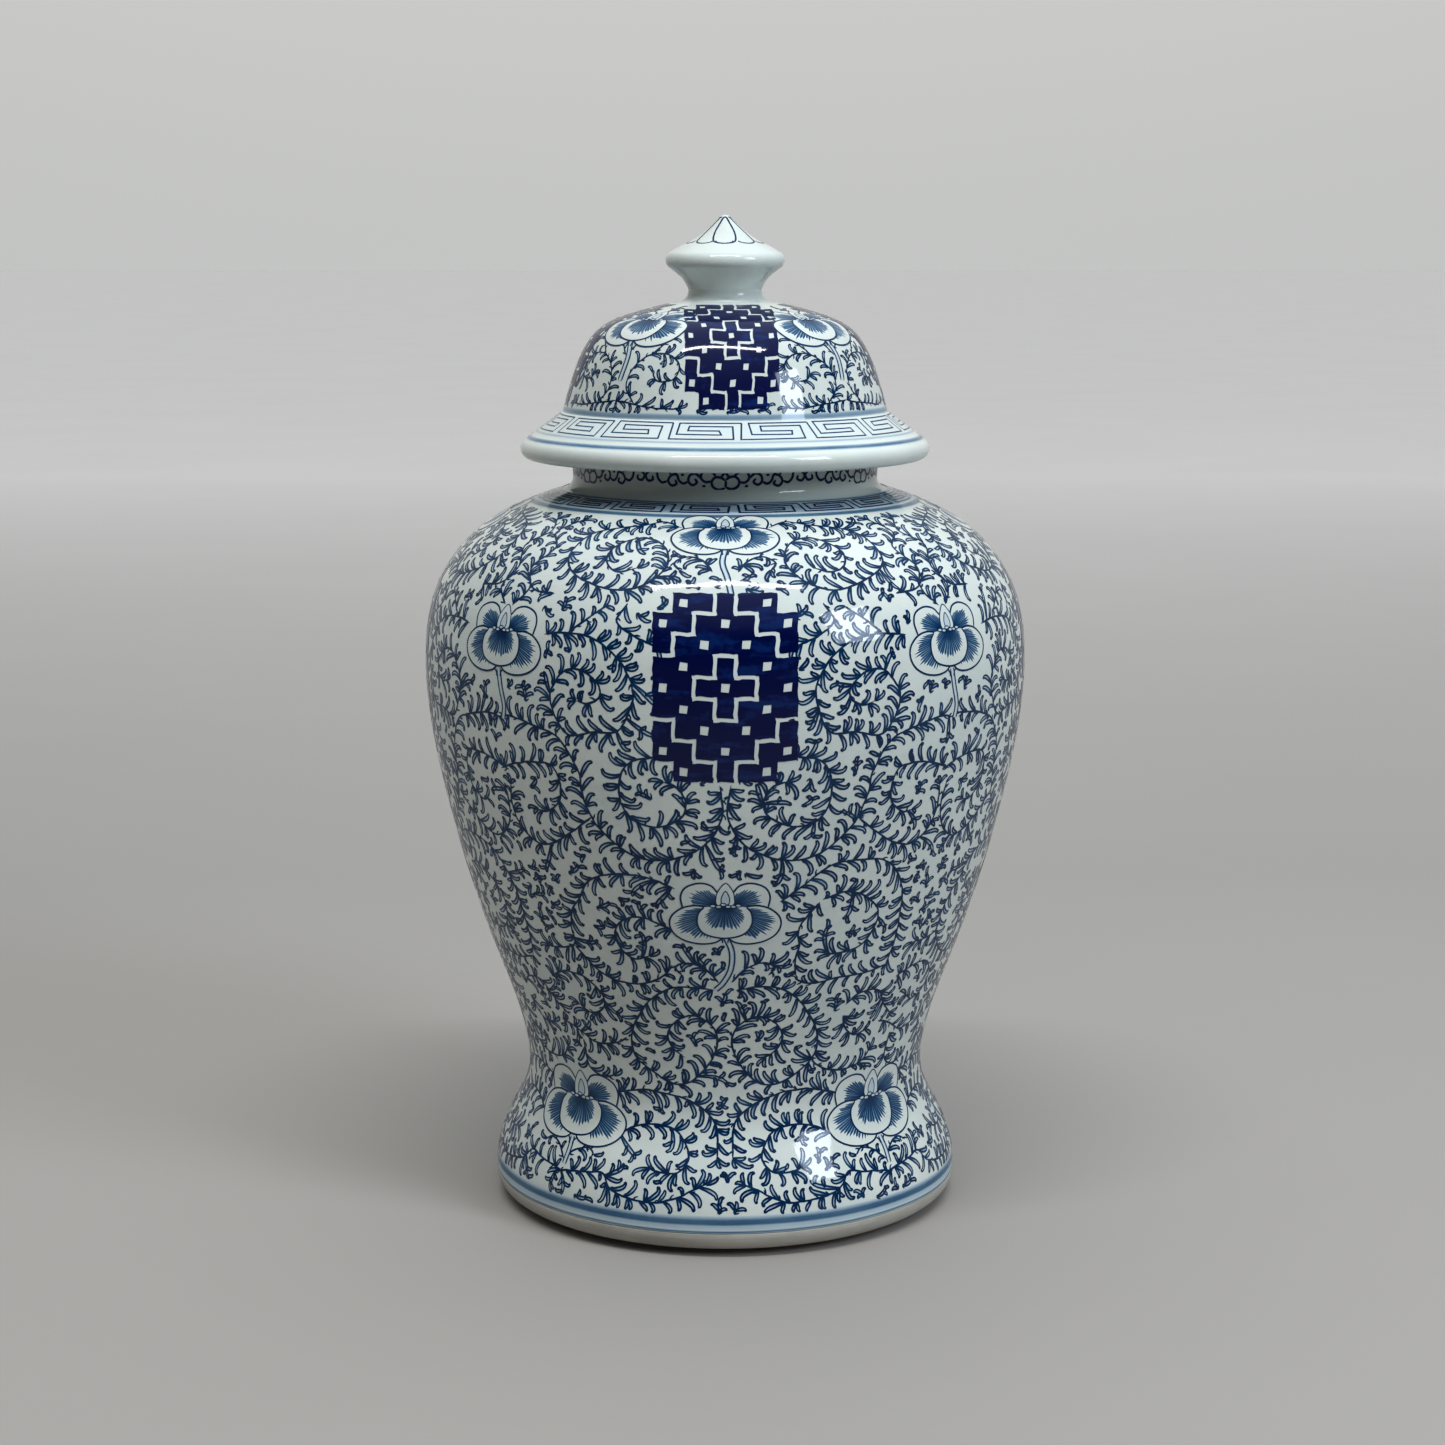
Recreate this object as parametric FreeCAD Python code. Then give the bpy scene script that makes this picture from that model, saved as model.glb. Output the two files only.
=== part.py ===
import FreeCAD, Part
import math
import os

# Lidded porcelain jar: a baluster body on a bare foot ring, with a flanged domed lid.
# Millimetres, +Z up.  The origin is on the jar's axis, in the plane that the foot ring stands on.
# Every section is a body of revolution, luted to its neighbours where a potter joins them, and the
# lid is loose: its brim rests on the neck's bare rim, and its locating ring hangs inside the mouth.

# ---- driving dimensions: heights above the standing plane, radii, walls --------------------
TOTAL_HEIGHT = 460.0        # the finial's tip
DOME_TOP = 421.0            # crown of the dome, where the finial is luted on
BRIM_TOP = 371.0            # crease between the lid's brim and its dome
RIM_HEIGHT = 364.0          # the neck's bare rim, which is also the lid's seat
BRIM_BOTTOM = 349.3         # lowest edge of the lid's brim
SHOULDER_TOP = 335.4        # where the shoulder ends and the neck collar starts
SEAM_HEIGHT = 150.0         # lute between the lower and upper thrown sections
WAIST_HEIGHT = 61.0         # lute between the flared foot section and the lower body
FOOT_HEIGHT = 12.0          # bare foot ring, from the standing plane to the glaze line

BODY_WALL = 7.0
FLOOR_THICKNESS = 10.0
NECK_RADIUS = 70.6          # outside of the neck collar
NECK_WALL = 7.4
NECK_ROOT_FILLET = 5.0
RIM_CHAMFER = 1.0

BRIM_RADIUS = 94.6          # outermost edge of the lid's brim
BRIM_EDGE_RADIUS = 4.8      # rounding of the brim's thick edge
BRIM_FALL = 36.5            # slope of the brim's upper face, in degrees
BRIM_UNDERCUT = 45.0        # slope of its lower face, in degrees
BRIM_SEAT_PLAY = 1.6        # how far the flat seat reaches past the outside of the neck
DOME_WALL = 6.0
RING_WALL = 6.0
RING_CLEARANCE = 0.9        # radial play between the lid's locating ring and the neck
RING_DEPTH = 22.0           # how far the locating ring hangs below the lid's seat
STEM_RADIUS = 17.0          # the finial's stem
STEM_FILLET = 4.4           # slip smoothed round the stem's root

OFFSET_STEPS = 16           # points that carry a wall's thickness to its inner outline
TRIM_REACH = 200.0          # half width of the blocks that trim a section, wider than the jar

# ---- outlines, as (radius, height); the walls run past their sections and are trimmed ---------
BODY_OUTLINE = [
    (109.0, 3.0),
    (109.5, FOOT_HEIGHT),
    (108.9, 20.5),
    (102.3, 39.0),
    (94.4, 56.0),
    (95.2, 79.0),
    (110.2, 124.0),
    (126.6, 177.0),
    (137.3, 227.0),
    (139.6, 257.0),
    (134.6, 289.0),
    (118.8, 312.8),
    (97.0, 327.4),
    (75.6, SHOULDER_TOP),
    (62.0, 339.6),
]

DOME_OUTLINE = [
    (76.2, BRIM_TOP - 4),
    (75.0, BRIM_TOP),
    (71.6, 382.5),
    (67.6, 394.0),
    (58.4, 408.0),
    (42.4, 415.7),
    (STEM_RADIUS + STEM_FILLET, DOME_TOP),
]

FINIAL_FLARE = [
    (STEM_RADIUS, 426.4),
    (18.9, 430.2),
    (22.0, 433.3),
    (25.4, 435.9),
]
FINIAL_EDGE = (27.4, 439.3)

FINIAL_CONE = [
    (25.2, 443.3),
    (20.8, 445.8),
    (15.9, 448.2),
    (10.4, 451.8),
    (2.2, 459.2),
]


def point(radius, height):
    """A point of the half section, which lies in the XZ plane."""
    return FreeCAD.Vector(radius, 0, height)


def curve(outline):
    """One smooth curve through an outline's points."""
    spline = Part.BSplineCurve()
    spline.interpolate([point(radius, height) for radius, height in outline])
    return spline


def inner_outline(outer, thickness):
    """Points inside an outer curve, one wall thickness away along its normal."""
    first = outer.FirstParameter
    span = outer.LastParameter - first
    points = []
    for step in range(OFFSET_STEPS + 1):
        parameter = first + span * step / OFFSET_STEPS
        along = outer.tangent(parameter)[0]
        outward = FreeCAD.Vector(along.z, 0, -along.x)
        inner = outer.value(parameter) - outward * thickness
        points.append((inner.x, inner.z))
    return points


def line(start, end):
    return Part.LineSegment(point(*start), point(*end)).toShape()


def arc(start, middle, end):
    return Part.Arc(point(*start), point(*middle), point(*end)).toShape()


def revolve(edges):
    """The solid that a closed half section sweeps round the jar's axis."""
    section = Part.Face(Part.Wire(Part.__sortEdges__(edges)))
    return section.revolve(FreeCAD.Vector(0, 0, 0), FreeCAD.Vector(0, 0, 1), 360)


def disc(radius, low, high):
    return Part.makeCylinder(radius, high - low, FreeCAD.Vector(0, 0, low))


def between(solid, low, high):
    """The part of a solid between two heights."""
    corner = FreeCAD.Vector(-TRIM_REACH, -TRIM_REACH, low)
    return solid.common(Part.makeBox(2 * TRIM_REACH, 2 * TRIM_REACH, high - low, corner))


def thrown_wall(outline, thickness):
    """A thrown wall: the outline on its outside, and its offset on the inside."""
    outer = curve(outline)
    inside = inner_outline(outer, thickness)
    edges = [
        outer.toShape(),
        line(outline[-1], inside[-1]),
        curve(inside).toShape(),
        line(inside[0], outline[0]),
    ]
    return revolve(edges)


def foot_ring():
    """Trimmed foot, wiped bare of glaze: it stands on a narrow face set in under a rounded edge."""
    edges = [
        line((89.0, 0.0), (96.5, 0.0)),
        line((96.5, 0.0), (98.0, 2.6)),
        line((98.0, 2.6), (104.6, 3.2)),
        arc((104.6, 3.2), (108.2, 6.2), (109.5, FOOT_HEIGHT)),
        line((109.5, FOOT_HEIGHT), (86.0, FOOT_HEIGHT)),
        line((86.0, FOOT_HEIGHT), (89.0, 0.0)),
    ]
    return revolve(edges)


def jar_wall(low, high):
    """A thrown section of the jar's wall, open at the mouth."""
    wall = between(thrown_wall(BODY_OUTLINE, BODY_WALL), low, high)
    return wall.cut(disc(neck_bore_radius(), SHOULDER_TOP - 2 * BODY_WALL, RIM_HEIGHT))


def floor_disc():
    """Round floor inside the foot of the wall; the foot ring leaves a recess under it."""
    top = FOOT_HEIGHT + FLOOR_THICKNESS
    inside = BODY_OUTLINE[1][0] - BODY_WALL / 2
    return disc(inside, FOOT_HEIGHT, top).cut(jar_wall(FOOT_HEIGHT, WAIST_HEIGHT))


def root_fillet(radius, height, size):
    """A hollow quarter round from the face below an upright wall up to the wall."""
    bend = size * (1 - math.sqrt(0.5))
    return arc((radius + size, height), (radius + bend, height + bend), (radius, height + size))


def neck_bore_radius():
    return NECK_RADIUS - NECK_WALL


def neck_collar():
    """Upright neck with a fillet at its root and a bare, flat rim that carries the lid."""
    inner = neck_bore_radius()
    chamfer = RIM_HEIGHT - RIM_CHAMFER
    edges = [
        line((inner, SHOULDER_TOP), (NECK_RADIUS + NECK_ROOT_FILLET, SHOULDER_TOP)),
        root_fillet(NECK_RADIUS, SHOULDER_TOP, NECK_ROOT_FILLET),
        line((NECK_RADIUS, SHOULDER_TOP + NECK_ROOT_FILLET), (NECK_RADIUS, chamfer)),
        line((NECK_RADIUS, chamfer), (NECK_RADIUS - RIM_CHAMFER, RIM_HEIGHT)),
        line((NECK_RADIUS - RIM_CHAMFER, RIM_HEIGHT), (inner + RIM_CHAMFER, RIM_HEIGHT)),
        line((inner + RIM_CHAMFER, RIM_HEIGHT), (inner, chamfer)),
        line((inner, chamfer), (inner, SHOULDER_TOP)),
    ]
    return revolve(edges)


def ring_radius():
    """Outside of the lid's locating ring, which hangs in the neck with play all round."""
    return neck_bore_radius() - RING_CLEARANCE


def lid_locating_ring():
    """Short ring under the lid that keeps it centred in the mouth."""
    low = RIM_HEIGHT - RING_DEPTH
    return disc(ring_radius(), low, RIM_HEIGHT).cut(disc(ring_radius() - RING_WALL, low, RIM_HEIGHT))


def brim_edge(turn):
    """A point of the brim's round edge, by its angle above the horizontal in degrees."""
    angle = math.radians(turn)
    radius = BRIM_RADIUS - BRIM_EDGE_RADIUS * (1 - math.cos(angle))
    return radius, BRIM_BOTTOM + BRIM_EDGE_RADIUS * (1 + math.sin(angle))


def lid_brim():
    """Sloping flange with a thick rounded edge, flat underneath where it sits on the neck."""
    seat_inner = ring_radius() - RING_WALL
    seat_outer = NECK_RADIUS + BRIM_SEAT_PLAY
    crease = DOME_OUTLINE[1][0]
    upper, lower = 90 - BRIM_FALL, BRIM_UNDERCUT - 180
    edge_top, edge_middle, edge_under = [brim_edge(turn) for turn in (upper, (upper + lower) / 2, lower)]
    edges = [
        line((seat_inner, RIM_HEIGHT), (seat_outer, RIM_HEIGHT)),
        line((seat_outer, RIM_HEIGHT), edge_under),
        arc(edge_under, edge_middle, edge_top),
        line(edge_top, (crease, BRIM_TOP)),
        line((crease, BRIM_TOP), (seat_inner, BRIM_TOP)),
        line((seat_inner, BRIM_TOP), (seat_inner, RIM_HEIGHT)),
    ]
    return revolve(edges)


def lid_dome():
    """Domed crown of the lid, closed by a thick disc under the finial."""
    wall = between(thrown_wall(DOME_OUTLINE, DOME_WALL), BRIM_TOP, DOME_TOP)
    crown = disc(STEM_RADIUS + STEM_FILLET, DOME_TOP - DOME_WALL, DOME_TOP)
    return wall.fuse(crown)


def rounded_tip(radius, height):
    """A spherical cap from the cone's end up to the finial's tip, with its centre on the axis."""
    rise = TOTAL_HEIGHT - height
    sphere = (radius ** 2 + rise ** 2) / (2 * rise)
    half_angle = math.asin(radius / sphere) / 2
    middle = (sphere * math.sin(half_angle), TOTAL_HEIGHT - sphere * (1 - math.cos(half_angle)))
    return arc((radius, height), middle, (0, TOTAL_HEIGHT))


def finial():
    """Bud on a short stem: a flared seat, a thick round edge and a hollow-sided pointed cone."""
    edges = [
        line((0, DOME_TOP), (STEM_RADIUS + STEM_FILLET, DOME_TOP)),
        root_fillet(STEM_RADIUS, DOME_TOP, STEM_FILLET),
        line((STEM_RADIUS, DOME_TOP + STEM_FILLET), FINIAL_FLARE[0]),
        curve(FINIAL_FLARE).toShape(),
        arc(FINIAL_FLARE[-1], FINIAL_EDGE, FINIAL_CONE[0]),
        curve(FINIAL_CONE).toShape(),
        rounded_tip(*FINIAL_CONE[-1]),
        line((0, TOTAL_HEIGHT), (0, DOME_TOP)),
    ]
    return revolve(edges)


def build():
    """Every node by name, each in its place on the closed jar."""
    return {
        "foot_ring": foot_ring(),
        "floor_disc": floor_disc(),
        "foot_section": jar_wall(FOOT_HEIGHT, WAIST_HEIGHT),
        "lower_body": jar_wall(WAIST_HEIGHT, SEAM_HEIGHT),
        "upper_body": jar_wall(SEAM_HEIGHT, SHOULDER_TOP),
        "neck_collar": neck_collar(),
        "lid_locating_ring": lid_locating_ring(),
        "lid_brim": lid_brim(),
        "lid_dome": lid_dome(),
        "finial": finial(),
    }


os.makedirs("parts", exist_ok=True)
for name, shape in build().items():
    shape.exportStep(f"parts/{name}.step")
    box = shape.optimalBoundingBox(True, False)
    print(f"{name}: {len(shape.Solids)} solid, valid {shape.isValid()}, {shape.Volume / 1000:.1f} cm3,",
          f"radius {box.XMax:.2f}, height {box.ZMin:.2f} to {box.ZMax:.2f}")
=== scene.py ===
import math

import bpy
import numpy as np
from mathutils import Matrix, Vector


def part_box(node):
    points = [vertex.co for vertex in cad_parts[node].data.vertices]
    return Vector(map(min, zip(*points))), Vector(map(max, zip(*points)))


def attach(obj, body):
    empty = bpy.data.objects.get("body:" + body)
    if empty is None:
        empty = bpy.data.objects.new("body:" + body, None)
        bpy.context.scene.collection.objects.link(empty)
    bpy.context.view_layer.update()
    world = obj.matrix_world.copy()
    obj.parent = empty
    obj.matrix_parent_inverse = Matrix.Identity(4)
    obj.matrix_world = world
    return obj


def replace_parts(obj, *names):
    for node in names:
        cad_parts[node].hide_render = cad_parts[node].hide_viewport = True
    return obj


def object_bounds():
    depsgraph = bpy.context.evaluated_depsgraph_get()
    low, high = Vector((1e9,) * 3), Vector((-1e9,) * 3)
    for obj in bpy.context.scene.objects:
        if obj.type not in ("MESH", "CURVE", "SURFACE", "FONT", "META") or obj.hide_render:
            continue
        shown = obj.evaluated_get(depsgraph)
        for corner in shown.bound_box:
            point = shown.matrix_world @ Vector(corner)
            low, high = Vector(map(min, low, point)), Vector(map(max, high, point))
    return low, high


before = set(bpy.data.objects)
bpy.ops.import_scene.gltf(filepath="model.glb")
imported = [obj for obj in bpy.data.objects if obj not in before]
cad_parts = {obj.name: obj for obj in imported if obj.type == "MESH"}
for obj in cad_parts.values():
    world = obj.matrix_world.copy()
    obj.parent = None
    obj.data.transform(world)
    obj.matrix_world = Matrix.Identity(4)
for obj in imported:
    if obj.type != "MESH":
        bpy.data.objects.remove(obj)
cad_low, cad_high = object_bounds()

# A porcelain jar with a domed lid, painted in cobalt blue.  Shapes and painting are in millimetres
# from here on; MM turns them into the frame's metres.  Angles run round the jar from the front (-Y)
# towards +X.  A place on a surface is (angle, along), where along is measured up the outline.
DESIGN_HEIGHT = 460.0
MM = (cad_high.z - cad_low.z) / DESIGN_HEIGHT
rng = np.random.default_rng(1894)


def low_of(node):
    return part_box(node)[0].z / MM


def high_of(node):
    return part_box(node)[1].z / MM


FOOT_TOP = high_of("foot_ring")
FLOOR_TOP = high_of("floor_disc")
WAIST = high_of("foot_section")
SEAM = high_of("lower_body")
SHOULDER_TOP = high_of("upper_body")
RIM = high_of("neck_collar")
RING_LOW = low_of("lid_locating_ring")
BRIM_LOW = low_of("lid_brim")
BRIM_TOP = high_of("lid_brim")
DOME_TOP = high_of("lid_dome")
TIP = high_of("finial")
BRIM_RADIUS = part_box("lid_brim")[1].x / MM
RING_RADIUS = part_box("lid_locating_ring")[1].x / MM

BODY_WALL = 7.0
DOME_WALL = 6.0
RING_WALL = 6.0
NECK_RADIUS = 70.6
NECK_BORE = 63.2
STEM_RADIUS = 17.0
STEM_FILLET = 4.4

SEGMENTS = 216              # sides of every body of revolution
ON_AXIS = 1e-4              # a smaller radius than this is a pole
RING_STEP = 1.6             # spacing of its rings on curved runs
TABLE_STEP = 0.25           # spacing of an outline's tabulated points

BODY_OUTLINE = [
    (109.0, 3.0),
    (109.5, FOOT_TOP),
    (108.9, 20.5),
    (102.3, 39.0),
    (94.4, 56.0),
    (95.2, 79.0),
    (110.2, 124.0),
    (126.6, 177.0),
    (137.3, 227.0),
    (139.6, 257.0),
    (134.6, 289.0),
    (118.8, 312.8),
    (97.0, 327.4),
    (75.6, SHOULDER_TOP),
    (62.0, 339.6),
]
DOME_OUTLINE = [
    (76.2, BRIM_TOP - 4),
    (75.0, BRIM_TOP),
    (71.6, 382.5),
    (67.6, 394.0),
    (58.4, 408.0),
    (42.4, 415.7),
    (STEM_RADIUS + STEM_FILLET, DOME_TOP),
]


# ---- outlines ----

def spline_samples(points, count):
    """Points along the natural cubic spline through the given points, spaced by chord length."""
    points = np.array(points, float)
    knots = np.concatenate([[0.0], np.cumsum(np.hypot(*np.diff(points, axis=0).T))])
    gaps = np.diff(knots)
    last = len(points) - 1
    matrix = np.eye(last + 1)
    right = np.zeros((last + 1, 2))
    for i in range(1, last):
        matrix[i, i - 1:i + 2] = gaps[i - 1], 2 * (gaps[i - 1] + gaps[i]), gaps[i]
        rise = (points[i + 1] - points[i]) / gaps[i] - (points[i] - points[i - 1]) / gaps[i - 1]
        right[i] = 6 * rise
    bend = np.linalg.solve(matrix, right)
    at = np.linspace(0, knots[-1], count)
    i = np.clip(np.searchsorted(knots, at, side="right") - 1, 0, last - 1)
    gap = gaps[i][:, None]
    after = (at - knots[i])[:, None]
    before = gap - after
    curved = (bend[i] * before ** 3 + bend[i + 1] * after ** 3) / (6 * gap)
    start = (points[i] / gap - bend[i] * gap / 6) * before
    end = (points[i + 1] / gap - bend[i + 1] * gap / 6) * after
    return curved + start + end


class Outline:
    """A smooth outline of (radius, height) points, read by the length along it."""

    def __init__(self, points, smooth=True):
        rough = np.hypot(*np.diff(np.array(points, float), axis=0).T).sum()
        count = int(rough / TABLE_STEP) + 2
        if smooth:
            table = spline_samples(points, count)
        else:
            table = np.linspace(points[0], points[-1], count)
        steps = np.hypot(*np.diff(table, axis=0).T)
        self.along = np.concatenate([[0.0], np.cumsum(steps)])
        self.length = self.along[-1]
        self.radii, self.heights = table.T
        slope = np.gradient(table, self.along, axis=0)
        slope /= np.linalg.norm(slope, axis=1)[:, None]
        self.out, self.up = slope[:, 1], -slope[:, 0]

    def radius(self, along):
        return np.interp(along, self.along, self.radii)

    def read(self, along):
        """Radius, height, and the outward normal's two parts."""
        tables = (self.radii, self.heights, self.out, self.up)
        return [np.interp(along, self.along, table) for table in tables]

    def at_height(self, height):
        return np.interp(height, self.heights, self.along)


body_outline = Outline(BODY_OUTLINE)
dome_outline = Outline(DOME_OUTLINE)


# ---- profiles of the turned pieces: runs of (points, normals), counter-clockwise ----

def line_run(start, end):
    """A straight run between two (radius, height) points."""
    ends = np.array([start, end], float)
    direction = (ends[1] - ends[0]) / np.linalg.norm(ends[1] - ends[0])
    normal = np.array([direction[1], -direction[0]])
    return ends, np.array([normal, normal])


def polar(centre, point):
    """The angle in degrees at which a centre sees a point."""
    return math.degrees(math.atan2(point[1] - centre[1], point[0] - centre[0]))


def arc_run(centre, radius, first, last, steps=8):
    """A round run about a centre, from one angle to another in degrees; hollow when they fall."""
    angles = np.radians(np.linspace(first, last, steps + 1))
    ray = np.stack([np.cos(angles), np.sin(angles)], axis=1)
    outward = 1 if last > first else -1
    return np.array(centre) + radius * ray, outward * ray


def outline_run(outline, low, high, inset=0.0):
    """A stretch of an outline between two heights: upwards, or downwards for an inset wall."""
    start, end = outline.at_height(low), outline.at_height(high)
    count = max(2, int(abs(end - start) / RING_STEP) + 1)
    radius, height, out, up = outline.read(np.linspace(start, end, count))
    normals = np.stack([out, up], axis=1)
    points = np.stack([radius, height], axis=1)
    if not inset:
        return points, normals
    points = (points - inset * normals)[::-1]
    points[:, 1] = np.clip(points[:, 1], low, high)
    return points, -normals[::-1]


def rounded(corners, closed=True):
    """Straight runs between (radius, height, rounding) corners, with an arc at each rounded one."""
    corners = [np.array(c, float) for c in corners]
    count = len(corners)
    starts, ends, arcs = {}, {}, {}
    for i, corner in enumerate(corners):
        here = corner[:2]
        before = corners[i - 1][:2] - here
        after = corners[(i + 1) % count][:2] - here
        before /= np.linalg.norm(before)
        after /= np.linalg.norm(after)
        half = math.acos(np.clip(before @ after, -1, 1)) / 2
        reach = corner[2] / math.tan(half)
        ends[i], starts[i] = here + before * reach, here + after * reach
        if corner[2] > 0:
            middle = before + after
            centre = here + middle / np.linalg.norm(middle) * corner[2] / math.sin(half)
            first = polar(centre, ends[i])
            turn = (polar(centre, starts[i]) - first + 180) % 360 - 180
            arcs[i] = arc_run(centre, corner[2], first, first + turn, 6)
    runs = []
    for i in range(count if closed else count - 1):
        if i in arcs and (closed or i):
            runs.append(arcs[i])
        runs.append(line_run(starts[i], ends[(i + 1) % count]))
    return runs


# ---- meshes ----

def placed(name, data):
    """A new object in the scene with this mesh, camera or light."""
    item = bpy.data.objects.new(name, data)
    bpy.context.scene.collection.objects.link(item)
    return item


def finish_piece(mesh, name, material, body):
    """Puts a mesh in the scene as a piece that rides on a body."""
    piece = placed(name, mesh)
    mesh.materials.append(material)
    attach(piece, body)
    return piece


def turned(node, runs, material, body):
    """A closed body of revolution with true normals, which stands for a CAD node."""
    points = np.concatenate([run[0][:-1] for run in runs])
    count = len(points)
    angle = np.linspace(0, 2 * math.pi, SEGMENTS, endpoint=False)
    around = np.stack([np.sin(angle), -np.cos(angle)], axis=1)
    vertices, first = [], []
    for radius, height in points:
        first.append(len(vertices))
        if radius < ON_AXIS:
            vertices.append((0, 0, height))
        else:
            vertices.extend(np.column_stack([around * radius, np.full(SEGMENTS, height)]).tolist())
    faces, normals = [], []
    row = 0
    for run_points, run_normals in runs:
        for i in range(len(run_points) - 1):
            near, far = row % count, (row + 1) % count
            row += 1
            corner_rows = (near, near, far, far)
            poles = [points[r][0] < ON_AXIS for r in corner_rows]
            if all(poles):
                continue
            for j in range(SEGMENTS):
                k = (j + 1) % SEGMENTS
                face = []
                for r, column, pole, n in zip(corner_rows, (j, k, k, j), poles, (i, i, i + 1, i + 1)):
                    corner = first[r] if pole else first[r] + column
                    if corner in face:
                        continue
                    face.append(corner)
                    out, up = run_normals[n]
                    normals.append((out * around[column][0], out * around[column][1], up))
                faces.append(face)
    mesh = bpy.data.meshes.new(node)
    mesh.from_pydata((np.array(vertices) * MM).tolist(), [], faces)
    mesh.polygons.foreach_set("use_smooth", [True] * len(faces))
    mesh.normals_split_custom_set(normals)
    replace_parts(finish_piece(mesh, "turned_" + node, material, body), node)


class Painting:
    """Brush marks laid on one surface, kept as quad grids until they become one thin piece."""

    def __init__(self, surface):
        self.surface = surface
        self.places, self.faces = [], []
        self.count = 0

    def grid(self, places, ink, lift):
        """Quads through rows of (angle, along) places; ink is for all, for each row or for each place."""
        rows, columns = places.shape[:2]
        lift = np.full((rows, columns), lift, float)
        ink = np.broadcast_to(ink, lift.shape)
        self.places.append(np.dstack([places, lift, ink]).reshape(-1, 4))
        index = np.arange(rows * columns).reshape(rows, columns) + self.count
        quads = [index[:-1, :-1], index[:-1, 1:], index[1:, 1:], index[1:, :-1]]
        self.faces.append(np.stack(quads, axis=-1).reshape(-1, 4))
        self.count += rows * columns

    def stroke(self, path, width, ink, lift, taper=0.0):
        """A brush line along a path of places; taper is the part of it that thins at each end."""
        self.grid(np.stack(self.sides(path, width, taper), axis=1), ink, lift)

    def sides(self, path, width, taper=0.0):
        """The two edges of a line of the given width, with mitred corners."""
        radius = self.surface.radius(path[:, 1])
        step = np.diff(path, axis=0)
        step[:, 0] *= (radius[1:] + radius[:-1]) / 2
        step /= np.maximum(np.linalg.norm(step, axis=1), 1e-9)[:, None]
        normal = np.stack([-step[:, 1], step[:, 0]], axis=1)
        before = np.concatenate([normal[:1], normal])
        after = np.concatenate([normal, normal[-1:]])
        middle = before + after
        middle /= np.maximum(np.linalg.norm(middle, axis=1), 1e-6)[:, None]
        mitre = np.maximum((middle * after).sum(axis=1), MITRE_LIMIT)
        half = np.broadcast_to(np.asarray(width, float) / 2, mitre.shape) / mitre
        if taper:
            t = np.linspace(0, 1, len(path))
            half = half * np.clip(np.minimum(t, 1 - t) / taper, THINNEST, 1) ** TAPER_POWER
        offset = middle * half[:, None]
        offset[:, 0] /= radius
        return path + offset, path - offset

    def piece(self, name, material, body):
        """Makes the collected marks into one mesh just proud of the glaze."""
        angle, along, lift, ink = np.concatenate(self.places).T
        radius, height, out, up = self.surface.read(along)
        ray = np.stack([np.sin(angle), -np.cos(angle)], axis=1)
        normals = np.column_stack([ray * out[:, None], up])
        points = np.column_stack([ray * radius[:, None], height]) + normals * lift[:, None]
        faces = np.concatenate(self.faces)
        corner = points[faces]
        facing = np.cross(corner[:, 2] - corner[:, 0], corner[:, 3] - corner[:, 1])
        backward = (facing * normals[faces[:, 0]]).sum(axis=1) < 0
        faces[backward] = faces[backward][:, ::-1]
        mesh = bpy.data.meshes.new(name)
        mesh.from_pydata((points * MM).tolist(), [], faces.tolist())
        mesh.polygons.foreach_set("use_smooth", [True] * len(faces))
        mesh.normals_split_custom_set_from_vertices(normals.tolist())
        mesh.attributes.new("ink", "FLOAT", "POINT").data.foreach_set("value", ink)
        finish_piece(mesh, name, material, body)


class Coverage:
    """Which places of a surface are painted already, as a grid over angle and length."""
    COLUMNS = 1440
    STEP = 0.6

    def __init__(self, surface):
        self.surface = surface
        self.rows = int(surface.length / self.STEP) + 2
        self.taken = np.zeros((self.rows, self.COLUMNS), bool)

    def cell(self, place):
        row = int(place[1] / self.STEP)
        return row, int(place[0] / (2 * math.pi) * self.COLUMNS)

    def mark(self, path, reach):
        """Takes the ground within reach of a path's places."""
        radius = self.surface.radius(path[:, 1])
        for place, r in zip(path, radius):
            row, column = self.cell(place)
            wide = int(round(reach / r / (2 * math.pi) * self.COLUMNS))
            tall = int(round(reach / self.STEP))
            rows = np.arange(max(row - tall, 0), min(row + tall + 1, self.rows))
            columns = np.arange(column - wide, column + wide + 1) % self.COLUMNS
            self.taken[np.ix_(rows, columns)] = True

    def is_free(self, path):
        """Whether none of these places is taken or off the surface."""
        rows = (path[:, 1] / self.STEP).astype(int)
        if rows.min() < 0 or rows.max() >= self.rows:
            return False
        columns = (path[:, 0] / (2 * math.pi) * self.COLUMNS).astype(int) % self.COLUMNS
        return not self.taken[rows, columns].any()


# ---- brush work ----

LINE_WIDTH, STEM_WIDTH = 0.82, 0.9
WASH_LIFT, LEAF_LIFT, FLOWER_LIFT, PANEL_LIFT = 0.05, 0.08, 0.11, 0.12
PALE, MIDDLE, DARK, BLACKISH = 0.30, 0.48, 0.74, 1.0
STEM_GROUND, PETAL_GROUND, STALK_GROUND, PANEL_GROUND = 0.7, 1.0, 1.4, 1.5      # taken round each
MITRE_LIMIT = 0.6               # a line widens at its corners by at most 1 / this
THINNEST, TAPER_POWER = 0.12, 0.6       # least width of a tapered end, as a share, and its curve
PRESSURES = (0.85, 1.18)        # how the width of the leaves' lines varies, as shares
LOADS = (0.94, 1.10)            # and how their ink does

STEM_STEP = 1.2                 # spacing of the places along a stem
STEM_WAVER = 0.09               # how far the hand strays from one place to the next
MEAN_RADIUS = 120               # turns a stray in mm into one in radians

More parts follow.
